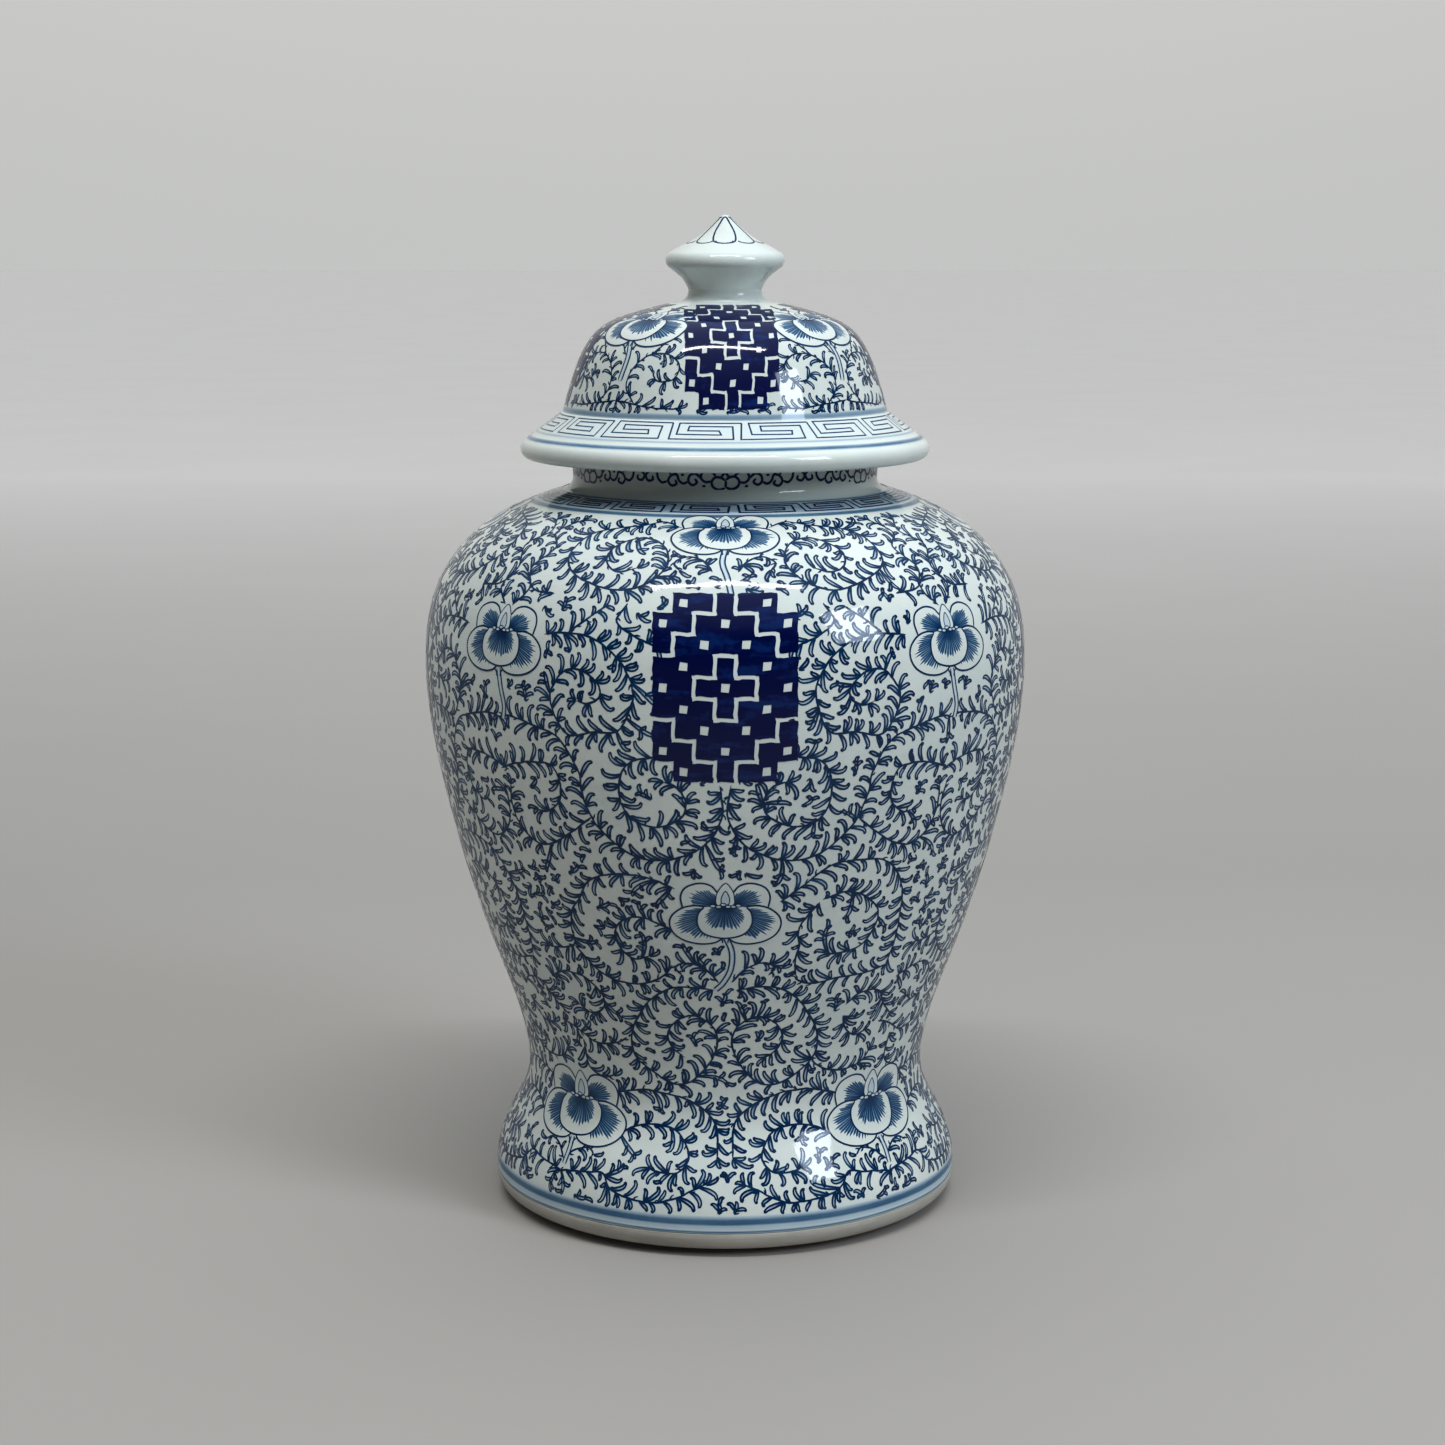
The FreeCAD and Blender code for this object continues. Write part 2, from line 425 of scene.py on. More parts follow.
# Half widths and inks of a leaf from its root (0) to its tip (1).
LEAF_WIDTHS = ([0, 0.2, 0.5, 0.8, 1], [0.14, 0.48, 0.72, 0.70, 0.44])
LEAF_TONES = ([0, 0.22, 0.5, 1], [DARK, MIDDLE, PALE * 0.6, 0.04])
LEAF_CLEAR = 1.1                # bare ground that a leaf needs on each side of its middle line
TIP_CLEAR = 1.2                 # and ahead of its tip
TIP_BENDS = (35, 90, 145)       # degrees round the tip, where its outline has places
HOOKS = (0.4, 1.25)             # how far a leaf turns near its tip, in radians
SHORTEN = 0.7                   # how much shorter the next try is, where a leaf doesn't fit

# Ranges of a leaf's spread from the stem and of its curl, in radians.
NEAR_LEAF = ((0.35, 0.85), (0.2, 1.5))
WIDE_LEAF = ((1.2, 1.6), (-0.2, 0.6))
LONG_LEAF = ((0.6, 1.5), (-0.5, 1.0))
TIP_LEAVES = [(0.0, 0.5, 0.6, 2.6), (0.75, 0.4, 0.5, 2.4)]      # spread, curl, share, shortest
LEAF_REACHES = (0.65, 0.8, 0.9, 1.0)    # how long a leaf tries to be, as shares of the longest
WIDE_LEAF_CHANCE = 0.65
THORN_CHANCES = (0.9, 0.4)
THORN_SPREADS, THORN_LENGTHS = (0.35, 1.1), (1.8, 3.0)
TWIG_PLACES = (2, 4, 5, 7)
TWIG_SPREADS, TWIG_SIZE = (0.5, 1.0), (0.6, 4.6, 2.4)           # curl, longest, shortest
SPRIG_CURLS, SPRIG_SHORTEST = (0.4, 1.0), 4.0
BARE_PATCH = 2.5                # radius of bare ground that calls for a loose sprig


def laid(surface, anchor, flat):
    """Places on a surface of a flat drawing in mm, right and up from an anchor place."""
    flat = np.asarray(flat, float)
    along = anchor[1] + flat[..., 1]
    return np.stack([anchor[0] + flat[..., 0] / surface.radius(along), along], axis=-1)


def smooth_path(points, count, closed=False):
    """A Catmull-Rom curve through points, with this many places between each two of them."""
    points = np.array(points, float)
    if closed:
        padded = np.concatenate([points[-1:], points, points[:2]])
    else:
        padded = np.concatenate([2 * points[:1] - points[1:2], points, 2 * points[-1:] - points[-2:-1]])
    t = np.linspace(0, 1, count, endpoint=False)[:, None]
    parts = []
    for i in range(len(padded) - 3):
        a, b, c, d = padded[i:i + 4]
        bend = (2 * a - 5 * b + 4 * c - d) * t ** 2 + (3 * b - a - 3 * c + d) * t ** 3
        parts.append(b + 0.5 * ((c - a) * t + bend))
    parts.append(padded[-2:-1])
    return np.concatenate(parts)


def measured(surface, path):
    """Length in mm along a path of places, and its heading, in radians from straight right."""
    step = np.diff(path, axis=0)
    radius = surface.radius(path[:, 1])
    step[:, 0] *= (radius[1:] + radius[:-1]) / 2
    length = np.concatenate([[0.0], np.cumsum(np.hypot(*step.T))])
    heading = np.unwrap(np.arctan2(step[:, 1], step[:, 0]))
    return length, np.append(heading, heading[-1])


class Vinework:
    """Scrolling stems whose leaves grow into whatever space is still bare."""

    def __init__(self, surface, low, high, fineness=1.0):
        self.surface = surface
        self.low, self.high = low, high
        self.fineness = fineness
        self.coverage = Coverage(surface)
        self.lines, self.washes = {}, {}
        self.stems = []

    def layer(self, store, place):
        """The painting that holds this quarter of the surface."""
        quarter = int((math.degrees(place[0]) + 45) // 90) % 4
        if quarter not in store:
            store[quarter] = Painting(self.surface)
        return store[quarter]

    def stem(self, points):
        """Paints a stem through (angle, along) places in degrees and mm, and keeps its route."""
        points = np.array(points, float)
        points[:, 0] = np.radians(points[:, 0])
        rough = smooth_path(points, 8)
        length, _ = measured(self.surface, rough)
        even = np.arange(0, length[-1], STEM_STEP)
        path = np.stack([np.interp(even, length, rough[:, i]) for i in (0, 1)], axis=1)
        waver = np.cumsum(rng.normal(0, STEM_WAVER, path.shape), axis=0)
        waver -= np.linspace(0, 1, len(path))[:, None] * waver[-1]
        path = path + waver * [1 / MEAN_RADIUS, 1]
        length, heading = measured(self.surface, path)
        self.coverage.mark(path, STEM_GROUND)
        thick = STEM_WIDTH * self.fineness * (1 + 0.12 * np.sin(length / 3.1))
        self.layer(self.lines, path[len(path) // 2]).stroke(path, thick, DARK, LEAF_LIFT, taper=0.03)
        self.stems.append((path, length, heading))

    def leaf_shape(self, side, length, spread, curl, hook):
        """The middle line of a leaf and its headings, for a stem that runs straight right."""
        t = np.linspace(0, 1, 9)
        turn = side * (spread + curl * t ** 1.2 + hook * np.clip(t - 0.7, 0, 1) / 0.3)
        step = length / 8 * np.stack([np.cos(turn), np.sin(turn)], axis=1)
        return np.concatenate([[[0.0, 0.0]], np.cumsum(step[:-1], axis=0)]), turn

    def fit_leaf(self, place, heading, side, leaf, clear, at_tip):
        """The longest leaf that fits on bare ground, as its middle line and headings, or nothing."""
        spread, curl, longest, shortest = leaf
        swing = np.array([[math.cos(heading), math.sin(heading)], [-math.sin(heading), math.cos(heading)]])
        hook = rng.uniform(*HOOKS)
        length = longest
        while length >= shortest:
            flat, turn = self.leaf_shape(side, length, spread, curl, hook)
            normal = np.stack([-np.sin(turn), np.cos(turn)], axis=1)
            tip = flat[-1] + TIP_CLEAR * np.array([math.cos(turn[-1]), math.sin(turn[-1])])
            probe = np.concatenate([flat + LEAF_CLEAR * normal, flat - LEAF_CLEAR * normal, flat, [tip]])
            away = np.hypot(*probe.T) if at_tip else np.abs(probe[:, 1])
            places = laid(self.surface, place, probe[away > clear] @ swing)
            inside = len(places) and places[:, 1].min() > self.low and places[:, 1].max() < self.high
            if inside and self.coverage.is_free(places):
                return flat @ swing, turn + heading
            length -= SHORTEN
        return None

    def fan(self, place, heading, side, leaves, clear=1.8, at_tip=False):
        """Leaves (spread, curl, longest, shortest) that spring from one place of a stem or its tip.

        The ground has to be bare from this far beside the stem, or from this far round its tip.
        """
        fitted = [self.fit_leaf(place, heading, side, leaf, clear, at_tip) for leaf in leaves]
        drawn = []
        for flat, turn in filter(None, fitted):
            self.draw_leaf(place, flat, turn)
            path = laid(self.surface, place, flat)
            self.coverage.mark(path[2:], LEAF_CLEAR)
            drawn.append((path, turn))
        return drawn

    def draw_leaf(self, place, flat, turn):
        """A pale finger between two dark lines that start together and meet round its tip."""
        t = np.linspace(0, 1, len(flat))
        length = math.dist(flat[0], flat[4]) + math.dist(flat[4], flat[-1])
        half = np.interp(t, *LEAF_WIDTHS)
        half = half * min(1.08, 0.76 + length / 28) * self.fineness
        normal = np.stack([-np.sin(turn), np.cos(turn)], axis=1) * half[:, None]
        left, right = flat + normal, flat - normal
        ahead = np.array([math.cos(turn[-1]), math.sin(turn[-1])]) * half[-1] * 1.5
        cap = []
        for bend in TIP_BENDS:
            swing = math.radians(bend)
            cap.append(flat[-1] + normal[-1] * math.cos(swing) + ahead * math.sin(swing))
        edge = np.concatenate([left, cap, right[::-1]])
        width = LINE_WIDTH * self.fineness * rng.uniform(*PRESSURES)
        lines = self.layer(self.lines, place)
        lines.stroke(laid(self.surface, place, edge), width, DARK * rng.uniform(*LOADS), LEAF_LIFT)
        wash_place = laid(self.surface, place, np.stack([left, right], axis=1))
        tone = np.interp(t, *LEAF_TONES)
        washes = self.layer(self.washes, place)
        washes.grid(wash_place, tone[:, None], WASH_LIFT)

    def thorn(self, place, heading, side):
        """A short dark spike between the leaves, hugging the stem."""
        turn = heading + side * rng.uniform(*THORN_SPREADS)
        reach = rng.uniform(*THORN_LENGTHS) * self.fineness
        ahead = reach * np.array([math.cos(turn), math.sin(turn)])
        across = 0.12 * side * np.array([-ahead[1], ahead[0]])
        path = laid(self.surface, place, smooth_path([(0, 0), ahead * 0.55 + across, ahead], 3))
        lines = self.layer(self.lines, place)
        lines.stroke(path, np.linspace(1.0, 0.4, len(path)) * self.fineness, DARK, LEAF_LIFT)

    def new_leaf(self, kind, longest, shortest):
        """A leaf to try: how far it spreads from the stem, its curl, and its greatest and least length."""
        spreads, curls = kind
        return rng.uniform(*spreads), rng.uniform(*curls), longest, shortest

    def grow(self, longest=9.6, spacing=3.0):
        """Fans of leaves on alternate sides all along every stem, and three at its tip."""
        for path, length, heading in self.stems:
            at = rng.uniform(0.8, 2.2)
            side = 1
            while at < length[-1] - 0.6:
                place = np.array([np.interp(at, length, path[:, i]) for i in (0, 1)])
                along = np.interp(at, length, heading)
                leaves = [self.new_leaf(NEAR_LEAF, longest * rng.choice(LEAF_REACHES), 3.2)]
                if rng.random() < WIDE_LEAF_CHANCE:
                    leaves.append(self.new_leaf(WIDE_LEAF, longest * 0.55, 2.6))
                self.fan(place, along, side, leaves)
                for chance in THORN_CHANCES:
                    if rng.random() < chance:
                        self.thorn(place, along, side)
                side = -side
                at += spacing * rng.uniform(0.75, 1.3)
            tip = [(spread, curl, longest * share, least) for spread, curl, share, least in TIP_LEAVES]
            self.fan(path[-1], heading[-1], 1, tip, 2.8, at_tip=True)
            self.fan(path[-1], heading[-1], -1, tip[1:], 2.8, at_tip=True)

    def reach_out(self, longest=15.0, shortest=5.6, spacing=2.6):
        """Long leaves with twigs on them, into the gaps that are left."""
        for path, length, heading in self.stems:
            at = rng.uniform(0.5, 2.5)
            while at < length[-1]:
                place = np.array([np.interp(at, length, path[:, i]) for i in (0, 1)])
                along = np.interp(at, length, heading)
                for side in (-1, 1):
                    leaf = self.new_leaf(LONG_LEAF, longest, shortest)
                    for drawn in self.fan(place, along, side, [leaf], 3.0):
                        self.twigs(*drawn)
                at += spacing

    def twigs(self, path, heading):
        """Short leaves on both sides of a long one."""
        for i in TWIG_PLACES:
            for side in (-1, 1):
                self.fan(path[i], heading[i], side, [(rng.uniform(*TWIG_SPREADS), *TWIG_SIZE)])

    def fill_gaps(self, spacing=3.2, longest=7.0):
        """Small loose sprigs wherever a patch of the ground is still bare."""
        along = self.low + 2
        ring = np.linspace(0, 2 * math.pi, 8, endpoint=False)
        around = BARE_PATCH * np.stack([np.cos(ring), np.sin(ring)], axis=1)
        while along < self.high - 2:
            radius = self.surface.radius(along)
            count = int(2 * math.pi * radius / spacing)
            for angle in (np.arange(count) + rng.random()) * 2 * math.pi / count:
                spot = np.array([angle, along]) + rng.normal(0, 0.6, 2) * [1 / radius, 1]
                heading = rng.uniform(0, 2 * math.pi)
                if self.coverage.is_free(laid(self.surface, spot, around)):
                    self.sprig(spot, heading, longest)
            along += spacing

    def sprig(self, spot, heading, longest):
        """A loose leaf, towards any side where one fits, with a thorn and twigs."""
        for quarter in range(4):
            swing = heading + quarter * math.pi / 2
            leaf = (0.0, rng.uniform(*SPRIG_CURLS), longest, SPRIG_SHORTEST)
            for drawn in self.fan(spot, swing, 1, [leaf], 0.2, at_tip=True):
                self.thorn(spot, swing, -1)
                self.twigs(*drawn)
                return

    def pieces(self, name, material, body):
        """Makes the washes and the lines of each quarter into pieces."""
        for kind, store in (("leaf_washes", self.washes), ("leaf_lines", self.lines)):
            for quarter in sorted(store):
                store[quarter].piece(f"{name}_{kind}_{quarter}", material, body)


# ---- flowers, all drawn about their stamens, in mm right and up ----

TOP_PETAL = [(-18.6, -2.1), (-19.4, 3.4), (-17.2, 7.8), (-11.6, 10.0), (-6.4, 9.0), (-3.4, 5.6)]
SIDE_PETAL = [
    (-8.0, -1.6), (-13.5, -0.9), (-19.0, -2.4), (-23.4, -6.4), (-24.3, -11.0),
    (-22.0, -15.6), (-16.8, -18.8), (-10.0, -20.0), (-4.0, -19.0), (-0.4, -16.0),
]
LIP = [
    (-9.2, -1.6), (-11.8, -5.0), (-12.0, -10.6), (-8.8, -15.0), (-0.7, -17.0),
    (7.4, -15.4), (11.4, -10.6), (11.4, -4.8), (9.2, -1.6),
]
BUD = [(-3.3, -0.6), (-4.0, 3.6), (-2.7, 7.0), (0.2, 10.2), (2.9, 7.0), (3.9, 3.6), (3.3, -0.6)]
BUD_HEART = [(-1.3, 0.0), (-1.7, 3.0), (0.1, 6.4), (1.8, 3.0), (1.4, 0.0)]
STAMENS = [(-5.4, -0.9), (-2.9, -1.3), (-0.9, -0.2), (1.3, -1.2), (3.6, -1.2), (5.6, -0.7)]
STAMEN_HALF = (1.25, 0.72)
FORK = [(1.1, -3.6), (1.5, -1.6), (3.8, 0.8)]
PAIRED_PETALS = [(TOP_PETAL, (2.5, -1), 4.2), (SIDE_PETAL, (3.5, -4), 3.6)]     # left one, root, rim
BLOT_LINE = 0.45
STALK_WIDTH, STALK_LINE = 2.2, 0.66
STALK_TONES = (0.20, 0.03, 0.12)
STALK_LIFT, STALK_LINE_LIFT = LEAF_LIFT + 0.01, LEAF_LIFT + 0.02
LAYER = 0.015               # how far each layer of a flower lies above the one before

# A petal's hatching: strokes with paler slits between them, out to a white rim.
HATCH_DEPTHS = (0.08, 0.3, 0.5, 0.68, 0.84, 1.0)    # places along a stroke, from the petal's root
HATCH_TONES = ((0.84, 0), (0.82, 0.15), (0.80, 0.4), (0.80, 0.7), (0.78, 0.9), (0.70, 1))
HATCH_LIMITS = (0.25, 0.9)                          # least and most of the petal that is hatched
STROKE_LENGTHS = (0.90, 1.08)
STROKE_INKS, SLIT_INKS = (0.85, 1.0), (0.10, 0.36)
SLIT_LENGTH = 0.88                                  # a slit's length over a stroke's
RIM_DEPTHS = (0.4, 0.75, 1.0)                       # places over the white rim


class FlowerPainter:
    """Paints lotus-like flowers on one surface, and keeps the vines off them."""

    def __init__(self, vinework):
        self.vinework = vinework
        self.surface = vinework.surface
        self.fills = Painting(self.surface)
        self.lines = Painting(self.surface)

    def petal(self, anchor, outline, root, scale, rim, level):
        """White petal, hatched from its root to a white rim with fine uneven strokes, and outlined."""
        edge = smooth_path(outline, 7) * scale
        root = np.array(root) * scale
        count = len(edge)
        reach = np.clip(1 - rim * scale / np.hypot(*(edge - root).T), *HATCH_LIMITS)
        reach = reach * rng.uniform(*STROKE_LENGTHS, count)
        is_slit = np.arange(count) % 2 == 1
        reach[is_slit] *= SLIT_LENGTH
        load = np.where(is_slit, rng.uniform(*SLIT_INKS, count), rng.uniform(*STROKE_INKS, count))
        rim_start = np.minimum(reach + 0.025, 0.97)
        depth = [share * reach for share in HATCH_DEPTHS] + [rim_start]
        depth += [rim_start + (1 - rim_start) * share for share in RIM_DEPTHS]
        white = [0 * load] * (len(depth) - len(HATCH_TONES))
        ink = np.stack([tone * load ** power for tone, power in HATCH_TONES] + white)
        flat = root + np.stack(depth)[..., None] * (edge - root)
        place = laid(self.surface, anchor, flat)
        lift = FLOWER_LIFT + level * 2 * LAYER
        self.fills.grid(place, ink, lift)
        self.vinework.coverage.mark(place[3:].reshape(-1, 2), PETAL_GROUND)
        self.outline(anchor, edge, LINE_WIDTH, lift + LAYER)

    def outline(self, anchor, flat, width, lift):
        """A dark line round a shape."""
        place = laid(self.surface, anchor, flat)
        self.lines.stroke(place, width, DARK, lift, taper=0.02)

    def blot(self, anchor, outline, scale, tone, level, middle):
        """A small shape in one tone, with an outline."""
        edge = smooth_path(outline, 4, closed=True) * scale
        middle = np.array(middle) * scale
        flat = middle + np.array([0.08, 0.55, 1.0])[:, None, None] * (edge - middle)
        place = laid(self.surface, anchor, flat)
        lift = FLOWER_LIFT + level * 2 * LAYER
        self.fills.grid(place, tone, lift)
        self.outline(anchor, edge, BLOT_LINE, lift + LAYER)

    def flower(self, angle, along, scale):
        """Petals, lip, bud and stamens, each layer over the one before."""
        anchor = np.array([math.radians(angle), along])
        for level, (left, root, rim) in enumerate(PAIRED_PETALS):
            for side in (-1, 1):
                shape = [(-side * x, y) for x, y in left]
                self.petal(anchor, shape, (side * root[0], root[1]), scale, rim, level)
        self.petal(anchor, LIP, (0, -0.6), scale, 4.4, 2)
        self.blot(anchor, BUD, scale, 0.02, 3, (0, 3.5))
        self.blot(anchor, BUD_HEART, scale, 0.07, 4, (0, 2.5))
        ring = np.linspace(0, 2 * math.pi, 7)[:-1]
        for x, y in STAMENS:
            oval = np.array([x, y]) + STAMEN_HALF * np.stack([np.cos(ring), np.sin(ring)], axis=1)
            self.blot(anchor, oval, scale, 0.06, 5, (x, y))

    def stem(self, points):
        """Two dark lines with a pale wash between them, and a fork that cups the flower."""
        points = np.array(points, float)
        points[:, 0] = np.radians(points[:, 0])
        path = smooth_path(points, 8)
        left, right = self.lines.sides(path, STALK_WIDTH)
        across = np.stack([left, (left + right) / 2, right], axis=1)
        self.fills.grid(across, STALK_TONES, STALK_LIFT)
        for edge in (left, right):
            self.lines.stroke(edge, STALK_LINE, DARK, STALK_LINE_LIFT, taper=0.03)
        for side in (-1, 1):
            fork = smooth_path([(side * x, y) for x, y in FORK], 4)
            place = laid(self.surface, path[0], fork)
            self.lines.stroke(place, STALK_LINE, DARK, STALK_LINE_LIFT, taper=0.1)
        self.vinework.coverage.mark(path, STALK_GROUND)

    def pieces(self, name, material, body):
        self.fills.piece(name + "_flower_washes", material, body)
        self.lines.piece(name + "_flower_lines", material, body)


# ---- the lattice panel: solid cobalt, cut by thin white lines into stepped diamonds ----

HALF_COLUMNS, HALF_ROWS = 3, 4
CORNER_REACH = 6            # steps from the middle cell to the stepped corners
DIAMOND_STEPS = 3           # cells from one white line to the next
CELL_LINES = np.array([-0.5, -0.4, -0.2, 0.2, 0.4])
TUCK = 3.2                  # how far leaves may reach in under the panel's edge


def diamond(column, row):
    """Which stepped diamond a cell is part of, counted from the middle, or nothing outside."""
    steps = abs(column) + abs(row)
    if abs(column) > HALF_COLUMNS or abs(row) > HALF_ROWS or steps > CORNER_REACH:
        return None
    return (steps + 1) // DIAMOND_STEPS


def is_solid(column, row, x, y):
    """Whether one of the 5 by 5 parts of a cell, counted from its middle, is painted."""
    own = diamond(column, row)
    if own is None:
        return False
    if x == y == 0 and (abs(column) + abs(row)) % DIAMOND_STEPS == 0:
        return False
    across, up = int(x / 2), int(y / 2)
    others = (diamond(column + across, row), diamond(column, row + up), diamond(column + across, row + up))
    return all(other in (own, None) for other in others)


def lattice_panel(vinework, painting, angle, middle, width, height):
    """One panel, width by height mm, whose edges waver as a loaded brush leaves them."""
    columns = np.arange(-HALF_COLUMNS, HALF_COLUMNS + 1)
    rows = np.arange(-HALF_ROWS, HALF_ROWS + 1)
    x = np.append((columns[:, None] + CELL_LINES).ravel(), HALF_COLUMNS + 0.5) * width / len(columns)
    y = np.append((rows[:, None] + CELL_LINES).ravel(), HALF_ROWS + 0.5) * height / len(rows)
    x, y = np.meshgrid(x, y)
    phase = rng.uniform(0, 6, 4)
    wavy_x = x + 0.22 * np.sin(y * 0.71 + phase[0]) + 0.12 * np.sin(y * 2.3 + x + phase[1])
    wavy_y = y + 0.24 * np.sin(x * 0.63 + phase[2]) + 0.12 * np.sin(x * 2.1 + y + phase[3])
    anchor = np.array([math.radians(angle), middle])
    place = laid(painting.surface, anchor, np.stack([wavy_x, wavy_y], axis=-1))
    parts = len(CELL_LINES)
    for j in range(place.shape[0] - 1):
        row, up = rows[j // parts], j % parts - 2
        solid = [is_solid(columns[i // parts], row, i % parts - 2, up) for i in range(place.shape[1] - 1)]
        i = 0
        while i < len(solid):
            if not solid[i]:
                i += 1
                continue
            end = i
            while end < len(solid) and solid[end]:
                end += 1
            run = place[j:j + 2, i:end + 1]
            painting.grid(run, BLACKISH, PANEL_LIFT)
            if abs(y[j, 0]) < height / 2 - TUCK:
                under = np.abs(x[j:j + 2, i:end + 1]) < width / 2 - TUCK
                vinework.coverage.mark(run[under], PANEL_GROUND)
            i = end


# ---- bands ----

KEY_WAVER = 0.012               # how far the key's corners stray, as a share of a unit
KEY_UNIT = [
    (0, 1), (0, 0), (0.86, 0), (0.86, 0.80), (0.26, 0.80), (0.26, 0.52),
    (0.70, 0.52), (0.70, 0.28), (0.12, 0.28), (0.12, 1), (1, 1),
]


def band(painting, levels, inks, lift, waver=0.15):
    """A soft ring round the jar: the ink at each level up the outline."""
    angle = np.linspace(0, 2 * math.pi, SEGMENTS + 1)
    phase = rng.uniform(0, 6, 3)
    wave = sum(np.sin(n * angle + p) for n, p in zip((2, 5, 9), phase)) * waver / 2
    wave = wave * (1 - np.abs(np.linspace(-1, 1, len(angle))) ** 24)
    along = np.array(levels, float)[:, None] + wave
    places = np.dstack([np.broadcast_to(angle, along.shape), along])
    painting.grid(places, np.array(inks)[:, None], lift)


def key_band(painting, low, high, units, width, tone, turn=0.0):
    """A running key: one unbroken line that winds in and out of every unit."""
    pitch = 2 * math.pi / units
    for unit in range(units):
        corners = np.array(KEY_UNIT, float) + rng.normal(0, KEY_WAVER, (len(KEY_UNIT), 2))
        corners[0], corners[-1] = KEY_UNIT[0], KEY_UNIT[-1]
        path = [corners[0]]
        for start, end in zip(corners[:-1], corners[1:]):
            parts = max(1, int(abs(end[0] - start[0]) * 9))
            path.extend(start + (end - start) * (i + 1) / parts for i in range(parts))
        path = np.array(path)
        angle = math.radians(turn) + (unit + path[:, 0]) * pitch
        along = low + path[:, 1] * (high - low)
        painting.stroke(np.stack([angle, along], axis=1), width, tone, LEAF_LIFT)


# ---- materials ----

def linear(red, green, blue):
    """A colour given as it looks on screen, from 0 to 255, as the shader takes it."""
    parts = []
    for value in (red, green, blue):
        share = value / 255
        parts.append(share / 12.92 if share <= 0.04045 else ((share + 0.055) / 1.055) ** 2.4)
    return (*parts, 1.0)


def add(tree, kind, inputs=(), **settings):
    """A new node, with its settings, and its inputs as values or as links."""
    node = tree.nodes.new(kind)
    for name, value in settings.items():
        setattr(node, name, value)
    for name, value in dict(inputs).items():
        if isinstance(value, bpy.types.NodeSocket):
            tree.links.new(value, node.inputs[name])
        else:
            node.inputs[name].default_value = value
    return node


def noise(tree, where, scale, detail=2.0, rough=0.5):
    values = {"Vector": where, "Scale": scale, "Detail": detail, "Roughness": rough}
    return add(tree, "ShaderNodeTexNoise", values).outputs["Fac"]


def stretched(tree, where, x, y, z):
    return add(tree, "ShaderNodeMapping", {"Vector": where, "Scale": (x, y, z)}).outputs[0]


def ramp(tree, value, stops):
    node = add(tree, "ShaderNodeValToRGB", {"Fac": value})
    elements = node.color_ramp.elements
    while len(elements) < len(stops):
        elements.new(0.5)
    for element, (position, colour) in zip(elements, stops):
        element.position = position
        element.color = colour
    return node.outputs["Color"]


def mixed(tree, share, first, second):
    node = add(tree, "ShaderNodeMix", data_type="RGBA")
    for socket, value in zip((node.inputs[0], node.inputs[6], node.inputs[7]), (share, first, second)):
        if isinstance(value, bpy.types.NodeSocket):
            tree.links.new(value, socket)
        else:
            socket.default_value = value
    return node.outputs[2]


def maths(tree, operation, first, second=0.0, clamp=False):
    node = add(tree, "ShaderNodeMath", {0: first, 1: second}, operation=operation, use_clamp=clamp)
    return node.outputs[0]


def grey(value):
    return (value, value, value, 1.0)


def specks(tree, where, scale, size, share):
    """A mask of small round spots: one in some of the cells."""
    cells = add(tree, "ShaderNodeTexVoronoi", {"Vector": where, "Scale": scale})
    spot = ramp(tree, cells.outputs["Distance"], [(size * 0.5, grey(1)), (size, grey(0))])
    chosen = maths(tree, "LESS_THAN", cells.outputs["Color"], share)
    return maths(tree, "MULTIPLY", spot, chosen)


def new_material(name):
    material = bpy.data.materials.new(name)
    material.use_nodes = True
    tree = material.node_tree
    where = add(tree, "ShaderNodeTexCoord").outputs["Object"]
    return material, tree, tree.nodes["Principled BSDF"], where


def bumped(tree, shader, height, strength, distance):
    """Raises the surface where the height is more than nothing."""
    bump = add(tree, "ShaderNodeBump", {"Height": height, "Strength": strength, "Distance": distance})
    tree.links.new(bump.outputs["Normal"], shader.inputs["Normal"])


